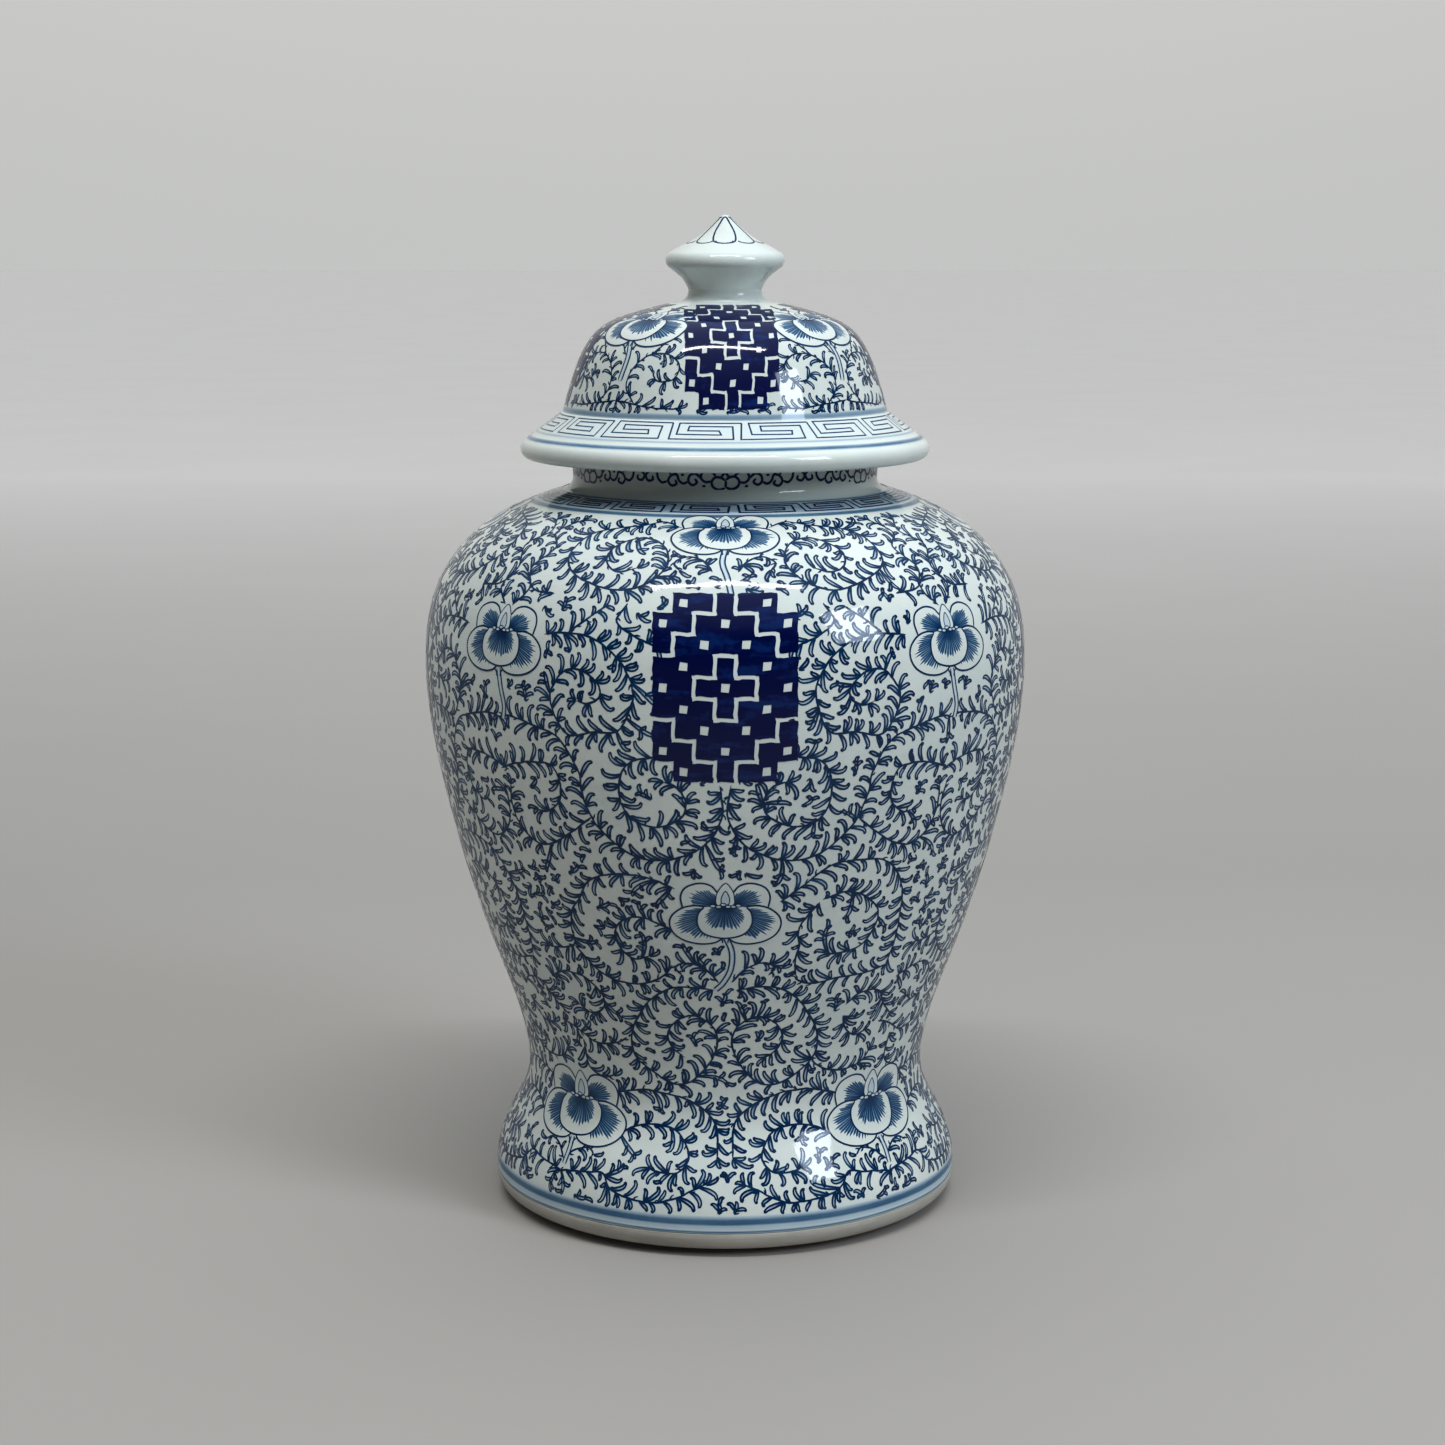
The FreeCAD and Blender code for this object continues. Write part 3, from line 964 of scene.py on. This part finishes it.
def glaze(name, painted):
    """Clear, faintly blue-green gloss over white porcelain, or over cobalt where the ink is."""
    material, tree, shader, where = new_material(name)
    mottle = noise(tree, where, 16.0, 4.0, 0.6)
    colour = ramp(tree, mottle, [(0.32, linear(204, 211, 207)), (0.68, linear(215, 220, 214))])
    spots = maths(tree, "MULTIPLY", specks(tree, where, 75.0, 0.022, 0.16), 0.5)
    colour = mixed(tree, spots, colour, linear(120, 105, 88))
    if painted:
        ink = add(tree, "ShaderNodeAttribute", attribute_name="ink").outputs["Fac"]
        brush = noise(tree, where, 420.0, 3.0, 0.6)
        load = noise(tree, stretched(tree, where, 0.2, 0.2, 1.0), 240.0, 2.0, 0.5)
        load = maths(tree, "MULTIPLY", load, 0.50)
        uneven = maths(tree, "ADD", maths(tree, "MULTIPLY", brush, 0.20), load)
        strength = maths(tree, "MULTIPLY", ink, maths(tree, "ADD", uneven, 0.66), clamp=True)
        tones = [
            (0.00, linear(204, 217, 221)),
            (0.16, linear(151, 171, 184)),
            (0.34, linear(84, 117, 141)),
            (0.52, linear(36, 84, 123)),
            (0.70, linear(11, 58, 95)),
            (0.82, linear(6, 46, 80)),
            (0.90, linear(10, 42, 100)),
            (0.99, linear(1, 14, 70)),
        ]
        edge = maths(tree, "MULTIPLY", ink, 12.0, clamp=True)
        colour = mixed(tree, edge, colour, ramp(tree, strength, tones))
    tree.links.new(colour, shader.inputs["Base Color"])
    swell = noise(tree, where, 42.0, 1.0)
    orange_peel = noise(tree, where, 620.0, 1.0)
    rings = noise(tree, stretched(tree, where, 0.12, 0.12, 1.0), 150.0, 1.0)
    height = maths(tree, "MULTIPLY", swell, 2.2)
    height = maths(tree, "ADD", height, maths(tree, "MULTIPLY", orange_peel, 0.035))
    height = maths(tree, "ADD", height, maths(tree, "MULTIPLY", rings, 0.5))
    bumped(tree, shader, height, 0.35, 0.0006)
    gloss = ramp(tree, noise(tree, where, 90.0, 3.0), [(0.3, grey(0.045)), (0.8, grey(0.10))])
    tree.links.new(gloss, shader.inputs["Roughness"])
    shader.inputs["IOR"].default_value = 1.42
    return material


def bare_porcelain():
    """Wiped, unglazed body: warm off-white and matt, with fine grit and rusty specks."""
    material, tree, shader, where = new_material("bare_porcelain")
    stain = noise(tree, stretched(tree, where, 1.0, 1.0, 3.0), 22.0, 4.0, 0.65)
    colour = ramp(tree, stain, [(0.30, linear(168, 165, 156)), (0.70, linear(195, 192, 184))])
    grit = noise(tree, where, 1500.0, 2.0)
    colour = mixed(tree, maths(tree, "MULTIPLY", grit, 0.18), colour, linear(150, 140, 124))
    spots = maths(tree, "MULTIPLY", specks(tree, where, 130.0, 0.06, 0.22), 0.8)
    colour = mixed(tree, spots, colour, linear(116, 84, 58))
    tree.links.new(colour, shader.inputs["Base Color"])
    drag = noise(tree, stretched(tree, where, 0.05, 0.05, 1.0), 700.0, 2.0)
    height = maths(tree, "ADD", maths(tree, "MULTIPLY", grit, 0.6), drag)
    bumped(tree, shader, height, 0.5, 0.0003)
    rough = ramp(tree, stain, [(0.2, grey(0.48)), (0.8, grey(0.66))])
    tree.links.new(rough, shader.inputs["Roughness"])
    return material


GLAZE = glaze("porcelain_glaze", painted=False)
COBALT = glaze("cobalt_under_glaze", painted=True)
BARE = bare_porcelain()


# ---- the turned pieces ----

def arc_through(start, middle, end, steps=8):
    """A round run through three (radius, height) points."""
    (ax, ay), (bx, by), (cx, cy) = start, middle, end
    double = 2 * (ax * (by - cy) + bx * (cy - ay) + cx * (ay - by))
    a, b, c = ax * ax + ay * ay, bx * bx + by * by, cx * cx + cy * cy
    centre = (
        (a * (by - cy) + b * (cy - ay) + c * (ay - by)) / double,
        (a * (cx - bx) + b * (ax - cx) + c * (bx - ax)) / double,
    )
    first = polar(centre, start)
    turn = (polar(centre, end) - first) % 360
    if (polar(centre, middle) - first) % 360 > turn:
        turn -= 360
    return arc_run(centre, math.dist(centre, start), first, first + turn, steps)


def join(*runs):
    """Closes a list of runs with straight ones wherever two of them don't meet."""
    closed = []
    for i, run in enumerate(runs):
        closed.append(run)
        here, following = run[0][-1], runs[(i + 1) % len(runs)][0][0]
        if math.dist(here, following) > 1e-3:
            closed.append(line_run(here, following))
    return closed


def foot_ring():
    corners = [
        (109.5, FOOT_TOP, 0.5), (86.0, FOOT_TOP, 0), (89.0, 0.0, 0.8),
        (96.5, 0.0, 0.7), (98.0, 2.6, 0.8), (104.6, 3.2, 0),
    ]
    runs = rounded(corners, closed=False)
    return join(*runs, arc_through((104.6, 3.2), (108.2, 6.2), (109.5, FOOT_TOP - 0.6), 10))


def floor_disc():
    edge = BODY_OUTLINE[1][0] - BODY_WALL - 0.4
    fillet = 3.0
    return join(
        line_run((0, FOOT_TOP), (edge, FOOT_TOP)),
        arc_run((edge - fillet, FLOOR_TOP + fillet), fillet, 0, -90, 6),
        line_run((0, FLOOR_TOP), (0, FOOT_TOP)),
    )


def wall(low, high):
    """The body's wall between two heights."""
    inside = outline_run(body_outline, low, high, BODY_WALL)
    return join(outline_run(body_outline, low, high), inside)


def neck_collar():
    root = 5.0
    middle = root * (1 - math.sqrt(0.5))
    fillet = arc_through(
        (NECK_RADIUS + root, SHOULDER_TOP),
        (NECK_RADIUS + middle, SHOULDER_TOP + middle),
        (NECK_RADIUS, SHOULDER_TOP + root),
    )
    mouth = rounded([
        (NECK_RADIUS, SHOULDER_TOP + root, 0), (NECK_RADIUS, RIM, 1.2),
        (NECK_BORE, RIM, 1.4), (NECK_BORE, SHOULDER_TOP, 0),
    ], closed=False)
    return join(fillet, *mouth)


def lid_ring():
    inner = RING_RADIUS - RING_WALL
    return rounded([
        (inner, RIM, 0), (inner, RING_LOW, 1.2), (RING_RADIUS, RING_LOW, 1.2), (RING_RADIUS, RIM, 0),
    ])


def lid_brim():
    seat_inner = RING_RADIUS - RING_WALL
    under = rounded([(seat_inner, RIM, 0), (72.2, RIM, 2.0), (*BRIM_EDGE[0][0], 0)], closed=False)
    return join(*under, BRIM_EDGE, line_run(BRIM_SLOPE[1], (seat_inner, BRIM_TOP)))


def lid_dome():
    outside = outline_run(dome_outline, BRIM_TOP, DOME_TOP)
    ceiling = DOME_TOP - DOME_WALL
    inside = outline_run(dome_outline, BRIM_TOP, DOME_TOP, DOME_WALL)
    low_enough = inside[0][:, 1] < ceiling
    inside = inside[0][low_enough], inside[1][low_enough]
    return join(outside, line_run((0, DOME_TOP), (0, ceiling)), inside)


def finial():
    root = STEM_RADIUS + STEM_FILLET
    middle = STEM_RADIUS + STEM_FILLET * (1 - math.sqrt(0.5))
    rise = STEM_FILLET * (1 - math.sqrt(0.5))
    tip_radius, tip_height = FINIAL_CONE[-1]
    return join(
        arc_through((root, DOME_TOP), (middle, DOME_TOP + rise), (STEM_RADIUS, DOME_TOP + STEM_FILLET)),
        outline_run(Outline(FINIAL_FLARE), FINIAL_FLARE[0][1], FINIAL_FLARE[-1][1]),
        arc_through(FINIAL_FLARE[-1], FINIAL_EDGE, FINIAL_CONE[0], 14),
        outline_run(cone_outline, FINIAL_CONE[0][1], tip_height),
        arc_through((tip_radius, tip_height), (tip_radius * 0.55, TIP - 0.22), (0, TIP), 5),
        line_run((0, TIP), (0, DOME_TOP)),
    )


FINIAL_FLARE = [(STEM_RADIUS, 426.4), (18.9, 430.2), (22.0, 433.3), (25.4, 435.9)]
FINIAL_EDGE = (27.4, 439.3)
FINIAL_CONE = [(25.2, 443.3), (20.8, 445.8), (15.9, 448.2), (10.4, 451.8), (2.2, 459.2)]
BRIM_EDGE_RADIUS = 4.8
BRIM_EDGE_CENTRE = (BRIM_RADIUS - BRIM_EDGE_RADIUS, BRIM_LOW + BRIM_EDGE_RADIUS)
BRIM_EDGE = arc_run(BRIM_EDGE_CENTRE, BRIM_EDGE_RADIUS, -135.0, 53.5, 20)
BRIM_SLOPE = [tuple(BRIM_EDGE[0][-1]), (75.0, BRIM_TOP)]
cone_outline = Outline(FINIAL_CONE)
brim_outline = Outline(BRIM_SLOPE, smooth=False)
neck_outline = Outline([(NECK_RADIUS, SHOULDER_TOP + 5), (NECK_RADIUS, RIM - 1.2)], smooth=False)

turned("foot_ring", foot_ring(), BARE, "jar")
turned("floor_disc", floor_disc(), GLAZE, "jar")
turned("foot_section", wall(FOOT_TOP, WAIST), GLAZE, "jar")
turned("lower_body", wall(WAIST, SEAM), GLAZE, "jar")
turned("upper_body", wall(SEAM, SHOULDER_TOP), GLAZE, "jar")
turned("neck_collar", neck_collar(), GLAZE, "jar")
turned("lid_locating_ring", lid_ring(), BARE, "lid")
turned("lid_brim", lid_brim(), GLAZE, "lid")
turned("lid_dome", lid_dome(), GLAZE, "lid")
turned("finial", finial(), GLAZE, "lid")


# ---- the body's painting: four like panels, each with a left and a right half ----

SHARED_VINES = [
    [(11, 349), (16, 353.5), (21, 350.5), (27.5, 347.5), (33, 342), (35, 332), (34.5, 323.5),
     (31.5, 317.5), (27.5, 313.5), (22.5, 310.5), (18, 312), (14, 317.5), (12, 325), (13, 333.5),
     (16, 339), (20, 340.5), (24, 336.5), (26, 330.5), (25, 323.5), (22, 320), (18, 322.5)],
    [(34.5, 289), (29.5, 290.5), (24, 289), (20, 283.5), (17.5, 276.5), (16.2, 269), (16.6, 261),
     (19, 250), (24, 248.5), (28.5, 246.5), (31, 251.5), (32.5, 262), (31.5, 269), (29, 275),
     (25.5, 275), (22.5, 269), (22.5, 263.5), (25, 260.5), (27.5, 262)],
    [(29.5, 290.5), (26, 297.5), (22.5, 303.5)],
    [(18.5, 305), (20, 296.5), (16.5, 290.5), (12, 286.5)],
    [(44, 300), (41, 309), (43, 319), (40, 331), (44, 341), (40, 352)],
    [(34.5, 307.5), (40, 309), (44, 317.5)],
    [(1, 227), (0.6, 213), (3, 201.5), (7.5, 194.5), (13.5, 191.5), (18.5, 194.5), (22.5, 201.5),
     (25.5, 210), (27, 221.5), (27.5, 231.5), (31, 244), (35.5, 248.5), (42, 251.5), (46, 250)],
    [(12, 239.5), (17, 236.5), (19.5, 228.5), (19.5, 217), (17, 209), (12.5, 207), (8.5, 211.5),
     (7, 218.5), (8.5, 225.5), (11.5, 228.5)],
    [(46, 227), (42, 230.5), (37.5, 232.5), (33.5, 231.5), (32, 224.5), (32.5, 215.5), (35.5, 210),
     (38, 210.5)],
    [(25.5, 210), (29.5, 203), (34.5, 195.5), (39, 193.5), (43, 200), (44.5, 210), (44, 221.5)],
    [(2.5, 127), (8.5, 128.5), (13, 127), (17, 121.5), (20, 114.5), (23, 105.5), (24.5, 97),
     (24, 88.5), (20, 81.5), (15, 76.5), (10, 76.5), (5.5, 83), (2.5, 91.5), (1.6, 100), (3, 107),
     (7.5, 112), (12, 108.5), (14.5, 101.5), (13.5, 94.5), (10.5, 90)],
    [(35, 67), (29, 70), (23, 72), (17, 71.5), (11.5, 69.5), (6, 64.5), (2.5, 57), (2, 41.5)],
    [(30, 50), (24.5, 55), (18.5, 56.5), (13.5, 54.5), (10.5, 48.5), (9.5, 41.5), (12, 35.5),
     (17, 35.5), (20, 37)],
    [(46, 27), (42.5, 28.5), (36.5, 30), (32, 31.5), (29, 25.5), (24, 22.5), (17, 21.5), (12, 24),
     (7.5, 28.5), (4.5, 31)],
    [(2.6, 321), (4.5, 327), (8, 329.5), (10.5, 326), (9, 321)],
    [(1.5, 131), (4, 137.5), (8, 141), (11, 138.5), (9.5, 134)],
    [(45, 33), (42, 38.5), (38, 41), (35.5, 38)],
]
LEFT_VINES = [
    [(10, 178), (14, 182), (19, 183.5), (24.5, 182), (28.5, 177), (30.5, 170), (33, 163),
     (34.5, 154.5), (34.5, 145.5), (38, 142), (43.5, 141.5)],
    [(10.5, 157), (14, 160.5), (18, 163.5), (22, 160.5), (24, 153.5), (23, 145.5), (20, 141.5),
     (16.5, 143.5)],
    [(35, 144.5), (30, 133), (24.5, 128.5), (18.5, 128.5), (13.5, 134.5), (11.5, 140)],
    [(45.5, 124.5), (40.5, 128.5), (35, 128.5), (30.5, 121.5), (30.5, 113), (35, 108.5), (39, 113)],
    [(47, 101.5), (42, 98.5), (36, 93), (29, 95), (25.5, 98.5)],
    [(40.5, 93), (40.5, 80), (36.5, 75.5), (31.5, 77)],
]
RIGHT_VINES = [
    [(11, 171.5), (15.5, 178.5), (20, 187), (24.5, 189.5), (30.5, 188.5), (35, 184.5), (38, 177),
     (40, 167), (40.5, 155.5), (40.5, 141.5), (39.5, 133)],
    [(19.5, 170), (17.5, 164.5), (15.5, 157), (16, 148.5), (15.5, 141.5), (16, 133)],
    [(20, 171.5), (25.5, 174.5), (30.5, 170), (34, 161.5), (33, 151.5), (30.5, 145.5), (25.5, 143),
     (22, 144.5)],
    [(21.5, 93), (25, 84.5), (30.5, 80), (35.5, 79.5), (40, 81.5), (42.5, 87)],
    [(30.5, 114.5), (34, 120), (39.5, 120), (43, 111.5), (47, 104)],
    [(30.5, 108.5), (32, 101.5), (35.5, 97), (39.5, 98.5)],
    [(39.5, 133), (33, 130), (26, 130), (20, 128.5), (15.5, 132)],
]
FLOWER_STEMS = [
    [(0, 334), (-0.6, 326), (0.4, 318), (1.2, 309)],
    [(0, 155), (1.4, 147), (1.2, 138), (-0.4, 131), (-2.2, 127)],
]
SIDE_FLOWER_STEMS = [
    [(45, 272), (45.6, 264), (46.4, 256), (46, 250)],
    [(45.5, 44), (45.8, 38), (45.6, 31)],
]
BODY_FLOWERS = [(0, 350, 0.96), (0, 171, 1.0), (45, 290, 1.0), (45.5, 64, 1.12)]    # angle, along, scale
LATTICE_WIDTH, LATTICE_HEIGHT, LATTICE_MIDDLE = 62.0, 82.0, 269.5
PANELS = (0, 90, 180, 270)

body_vines = Vinework(body_outline, low=16.4, high=356.5)
body_flowers = FlowerPainter(body_vines)
body_blocks = Painting(body_outline)
for panel in PANELS:
    for angle, along, scale in BODY_FLOWERS:
        body_flowers.flower(panel + angle, along, scale)
    for stem in FLOWER_STEMS + SIDE_FLOWER_STEMS:
        body_flowers.stem([(panel + angle, along) for angle, along in stem])
    lattice_panel(body_vines, body_blocks, panel, LATTICE_MIDDLE, LATTICE_WIDTH, LATTICE_HEIGHT)
for panel in PANELS:
    for side, own in ((-1, LEFT_VINES), (1, RIGHT_VINES)):
        for route in SHARED_VINES + own:
            body_vines.stem([(panel + side * angle, along) for angle, along in route])
body_vines.grow()
body_vines.reach_out()
body_vines.fill_gaps()
body_vines.pieces("body", COBALT, "jar")
body_flowers.pieces("body", COBALT, "jar")
body_blocks.piece("body_lattices", COBALT, "jar")

body_bands = Painting(body_outline)
band(body_bands, (9.1, 9.5, 9.9, 10.4), (0.1, 0.36, 0.24, 0), 0.06, 0.1)
band(body_bands, (10.4, 12.4, 13.3, 14.8, 16.0, 17.4), (0.06, 0.11, 0.40, 0.38, 0.15, 0), 0.06)
band(body_bands, (357.6, 358.4, 360.4, 361.2), (0, 0.36, 0.32, 0), 0.06)
band(body_bands, (372.0, 372.6, 373.6, 374.4), (0, 0.34, 0.30, 0), 0.06)
band(body_bands, (361.4, 362.4, 371.6, 372.4), (0, 0.12, 0.12, 0), 0.05)
key_band(body_bands, 363.0, 371.2, 18, 1.05, 0.84, 4.0)
body_bands.piece("body_bands", COBALT, "jar")


# ---- the lid's painting ----

LID_TURN = 2.7              # degrees that the lid sits turned from the body's panels
LID_VINES = [
    [(45, 8), (36, 6.5), (25, 4.8), (18, 5.6)],
    [(36, 6.5), (41, 14), (39.5, 23), (33, 29), (25, 29.5), (20, 24.5), (22, 18), (28, 17.5), (30.5, 21.5)],
    [(33, 29), (27.5, 35.5), (23, 39)],
    [(45, 29), (41.5, 34), (37.5, 36)],
]
LID_FLOWER_STEM = [(44.5, 37), (46.5, 28), (45.5, 17)]
lid_vines = Vinework(dome_outline, low=6.2, high=78.0, fineness=0.76)
lid_flowers = FlowerPainter(lid_vines)
lid_blocks = Painting(dome_outline)
DOME_START = dome_outline.at_height(BRIM_TOP)
for panel in PANELS:
    middle = panel + LID_TURN
    lid_flowers.flower(middle + 45, DOME_START + 53, 0.98)
    lid_flowers.stem([(middle + angle, DOME_START + along) for angle, along in LID_FLOWER_STEM])
    lattice_panel(lid_vines, lid_blocks, middle, DOME_START + 40, 42.0, 70.0)
for panel in PANELS:
    for side in (-1, 1):
        for route in LID_VINES:
            places = [(panel + LID_TURN + side * angle, DOME_START + along) for angle, along in route]
            lid_vines.stem(places)
lid_vines.grow(7.0, 2.3)
lid_vines.reach_out(10.0, 4.0)
lid_vines.fill_gaps(2.8, 6.0)
lid_vines.pieces("lid", COBALT, "lid")
lid_flowers.pieces("lid", COBALT, "lid")
lid_blocks.piece("lid_lattices", COBALT, "lid")

dome_bands = Painting(dome_outline)
band(dome_bands, DOME_START + np.array([0.1, 0.8, 1.9, 3.2]), (0.05, 0.24, 0.20, 0), 0.06, 0.1)
dome_bands.piece("dome_band", COBALT, "lid")
brim_bands = Painting(brim_outline)
band(brim_bands, (1.0, 2.0, 3.0, 4.2), (0, 0.36, 0.30, 0), 0.05, 0.1)
band(brim_bands, (6.4, 7.0, 7.6, 8.2), (0, 0.14, 0.12, 0), 0.05, 0.1)
band(brim_bands, (8.6, 9.4, 20.6, 21.4), (0, 0.03, 0.03, 0), 0.04)
key_band(brim_bands, 9.4, 20.2, 16, 0.78, 0.70, LID_TURN + 2.6)
brim_bands.piece("brim_bands", COBALT, "lid")

PETALS = 10
PETAL_EDGE = [
    (0.0, 28.0), (-0.46, 27), (-0.66, 24), (-0.74, 20), (-0.70, 16.5), (-0.60, 13), (-0.50, 10.6),
    (-0.34, 9.0), (-0.1, 8.3), (0.14, 8.5), (0.34, 9.5), (0.40, 10.8),
]
finial_petals = Painting(cone_outline)
for i in range(1 - PETALS // 2, PETALS // 2):
    turn = (i + rng.normal(0, 0.03)) * 360 / PETALS
    for side in (-1, 1) if i == 0 else (math.copysign(1, -i),):
        outline = [(math.radians(turn + side * x * 360 / PETALS), y) for x, y in PETAL_EDGE]
        finial_petals.stroke(smooth_path(outline, 7), 0.8, 0.8, LEAF_LIFT, taper=0.04)
finial_petals.piece("finial_petals", COBALT, "lid")

PENDANTS = 6
CLOUD_HALF = [
    [(0, 1.0), (-2.6, 0.2), (-5.2, 1.2), (-6.0, 3.6), (-4.4, 5.6), (-1.8, 5.4), (0, 4.2)],
    [(-6.0, 3.6), (-8.6, 3.2), (-10.6, 5.0), (-9.8, 7.6), (-7.2, 8.0), (-4.8, 6.8), (-4.4, 5.6)],
    [(-9.8, 7.6), (-10.8, 11.0), (-7.4, 13.6), (-4.2, 12.0), (-4.6, 9.4), (-2.2, 8.4), (0, 9.6)],
    [(-10.6, 5.0), (-13.2, 7.2), (-15.8, 6.4), (-16.4, 3.8), (-14.6, 2.2), (-12.6, 3.4), (-13.6, 5.0)],
    [(-16.4, 3.8), (-18.8, 2.8), (-20.8, 4.2), (-21.8, 6.6), (-24.4, 6.2), (-25.8, 3.8),
     (-24.2, 1.8), (-21.9, 2.6), (-22.6, 4.4)],
    [(-25.8, 3.8), (-28.4, 3.0), (-30.4, 4.8), (-31.2, 7.4), (-34.0, 8.0), (-36.6, 6.0),
     (-35.4, 3.6), (-33.0, 4.2), (-33.4, 6.0)],
    [(-13.2, 7.2), (-15.2, 10.8), (-19.4, 12.2), (-22.6, 10.4), (-21.8, 6.6)],
    [(-24.4, 6.2), (-26.4, 10.4), (-30.0, 11.6), (-31.2, 7.4)],
]
CLOUD_MIDDLE = [
    [(0, 1.0), (0.2, 4.2)],
    [(-1.8, 5.4), (0.1, 7.4), (2.0, 5.4)],
    [(0, 20.4), (0.3, 15.6)],
]
neck_clouds = Painting(neck_outline)
for i in range(PENDANTS):
    anchor = (2 * math.pi * i / PENDANTS, 0.0)
    mirrored = [[(-x, y) for x, y in line] for line in CLOUD_HALF]
    for line in CLOUD_HALF + mirrored + CLOUD_MIDDLE:
        flat = smooth_path(line, 5) + rng.normal(0, 0.10, 2)
        neck_clouds.stroke(laid(neck_outline, anchor, flat), 1.15, 0.88, LEAF_LIFT, taper=0.05)
    for x, y in ((-9.4, 1.4), (9.4, 1.4), (-19.0, 6.2), (19.0, 6.2)):
        dot = smooth_path([(x - 0.8, y), (x, y + 0.25), (x + 0.8, y)], 3)
        neck_clouds.stroke(laid(neck_outline, anchor, dot), 1.1, 0.72, LEAF_LIFT, taper=0.3)
band(neck_clouds, (20.0, 20.5, 21.3, 21.8), (0, 0.5, 0.46, 0), 0.05, 0.1)
neck_clouds.piece("neck_clouds", COBALT, "jar")


# ---- floor, camera and lights ----

def floor_material():
    """Pale, with painted shade and light: the floor's colour is painted dark in front of the jar, as the
    dim side of the room, greyer round the jar, and palest far behind it, as a lit backdrop.
    """
    material, tree, shader, where = new_material("floor_painted_shade_and_light")
    depth = add(tree, "ShaderNodeSeparateXYZ", {0: where}).outputs["Y"]
    depth = maths(tree, "ADD", maths(tree, "MULTIPLY", depth, 0.15), 0.3)
    # Painted shade and light: the colour is dark in front of the jar, grey round it and palest far behind
    # it.
    tones = [
        (0.10, (0.16, 0.153, 0.146, 1.0)),
        (0.24, (0.375, 0.350, 0.325, 1.0)),
        (0.40, (0.42, 0.395, 0.37, 1.0)),
        (0.90, (0.93, 0.875, 0.83, 1.0)),
    ]
    grain = maths(tree, "MULTIPLY", noise(tree, where, 3.0, 6.0, 0.6), 0.08)
    colour = mixed(tree, grain, ramp(tree, depth, tones), linear(120, 120, 118))
    tree.links.new(colour, shader.inputs["Base Color"])
    shader.inputs["Roughness"].default_value = 0.75
    return material


FLOOR_HALF = 30.0
mesh = bpy.data.meshes.new("floor")
corners = [(x * FLOOR_HALF, y * FLOOR_HALF, cad_low.z) for x, y in ((-1, -1), (1, -1), (1, 1), (-1, 1))]
mesh.from_pydata(corners, [], [(0, 1, 2, 3)])
mesh.materials.append(floor_material())
floor = placed("floor", mesh)

CAMERA_ASIDE = -0.0012      # metres and degrees, from the fit to the painted rings
CAMERA_DISTANCE = 1.341
CAMERA_HEIGHT = 0.454
CAMERA_PITCH = 9.71
camera_data = bpy.data.cameras.new("camera")
camera_data.lens = 72
camera_data.sensor_width = 36
camera = placed("camera", camera_data)
camera.location = (CAMERA_ASIDE, -CAMERA_DISTANCE, CAMERA_HEIGHT)
camera.rotation_euler = (math.radians(90 - CAMERA_PITCH), 0, 0)
bpy.context.scene.camera = camera


def area_light(name, place, target, size, power, colour):
    """A soft rectangular lamp that faces a target point."""
    data = bpy.data.lights.new(name, "AREA")
    data.shape = "RECTANGLE"
    data.size, data.size_y = size
    data.energy = power
    data.color = colour
    lamp = placed(name, data)
    direction = np.array(target, float) - np.array(place, float)
    yaw = math.atan2(direction[0], -direction[1])
    tilt = math.atan2(math.hypot(direction[0], direction[1]), -direction[2])
    lamp.location = place
    lamp.rotation_euler = (tilt, 0, yaw + math.pi)


def studio_world():
    """Even light of a pale room: brightest overhead, pale behind the jar, dimmer in front of it."""
    world = bpy.data.worlds.new("studio")
    world.use_nodes = True
    tree = world.node_tree
    direction = add(tree, "ShaderNodeTexCoord").outputs["Generated"]
    parts = add(tree, "ShaderNodeSeparateXYZ", {0: direction}).outputs
    depth = maths(tree, "ADD", maths(tree, "MULTIPLY", parts["Y"], 0.5), 0.5)
    low_tones = [(0.0, linear(98, 97, 95)), (0.5, linear(146, 146, 144)), (1.0, linear(203, 204, 203))]
    high_tones = [(0.0, linear(50, 52, 54)), (0.5, linear(88, 90, 90)), (1.0, linear(217, 217, 213))]
    low, high = ramp(tree, depth, low_tones), ramp(tree, depth, high_tones)
    around = mixed(tree, maths(tree, "MULTIPLY", parts["Z"], 5.0, clamp=True), low, high)
    overhead = ramp(tree, parts["Z"], [(0.42, grey(0)), (0.95, grey(1))])
    colour = mixed(tree, overhead, around, (1.04, 1.12, 1.19, 1.0))
    tree.links.new(colour, tree.nodes["Background"].inputs["Color"])
    tree.nodes["Background"].inputs["Strength"].default_value = 0.92
    bpy.context.scene.world = world


MIDDLE_OF_JAR = (0, 0, (cad_low.z + cad_high.z) / 2)
area_light("key_window", (1.9, -1.5, 1.5), MIDDLE_OF_JAR, (0.85, 1.05), 26, (0.88, 0.99, 1.12))
area_light("overhead_strip", (0.0, -0.9, 2.2), MIDDLE_OF_JAR, (1.8, 0.10), 24, (1.0, 1.0, 1.0))
area_light("left_fill", (-2.4, -1.0, 1.2), MIDDLE_OF_JAR, (1.4, 1.4), 1, (0.94, 0.97, 1.0))
studio_world()

# A camera's contrast: the light a little up, the darker tones a little down.
view = bpy.context.scene.view_settings
view.view_transform = "Standard"
view.exposure = 0.16
view.gamma = 0.82
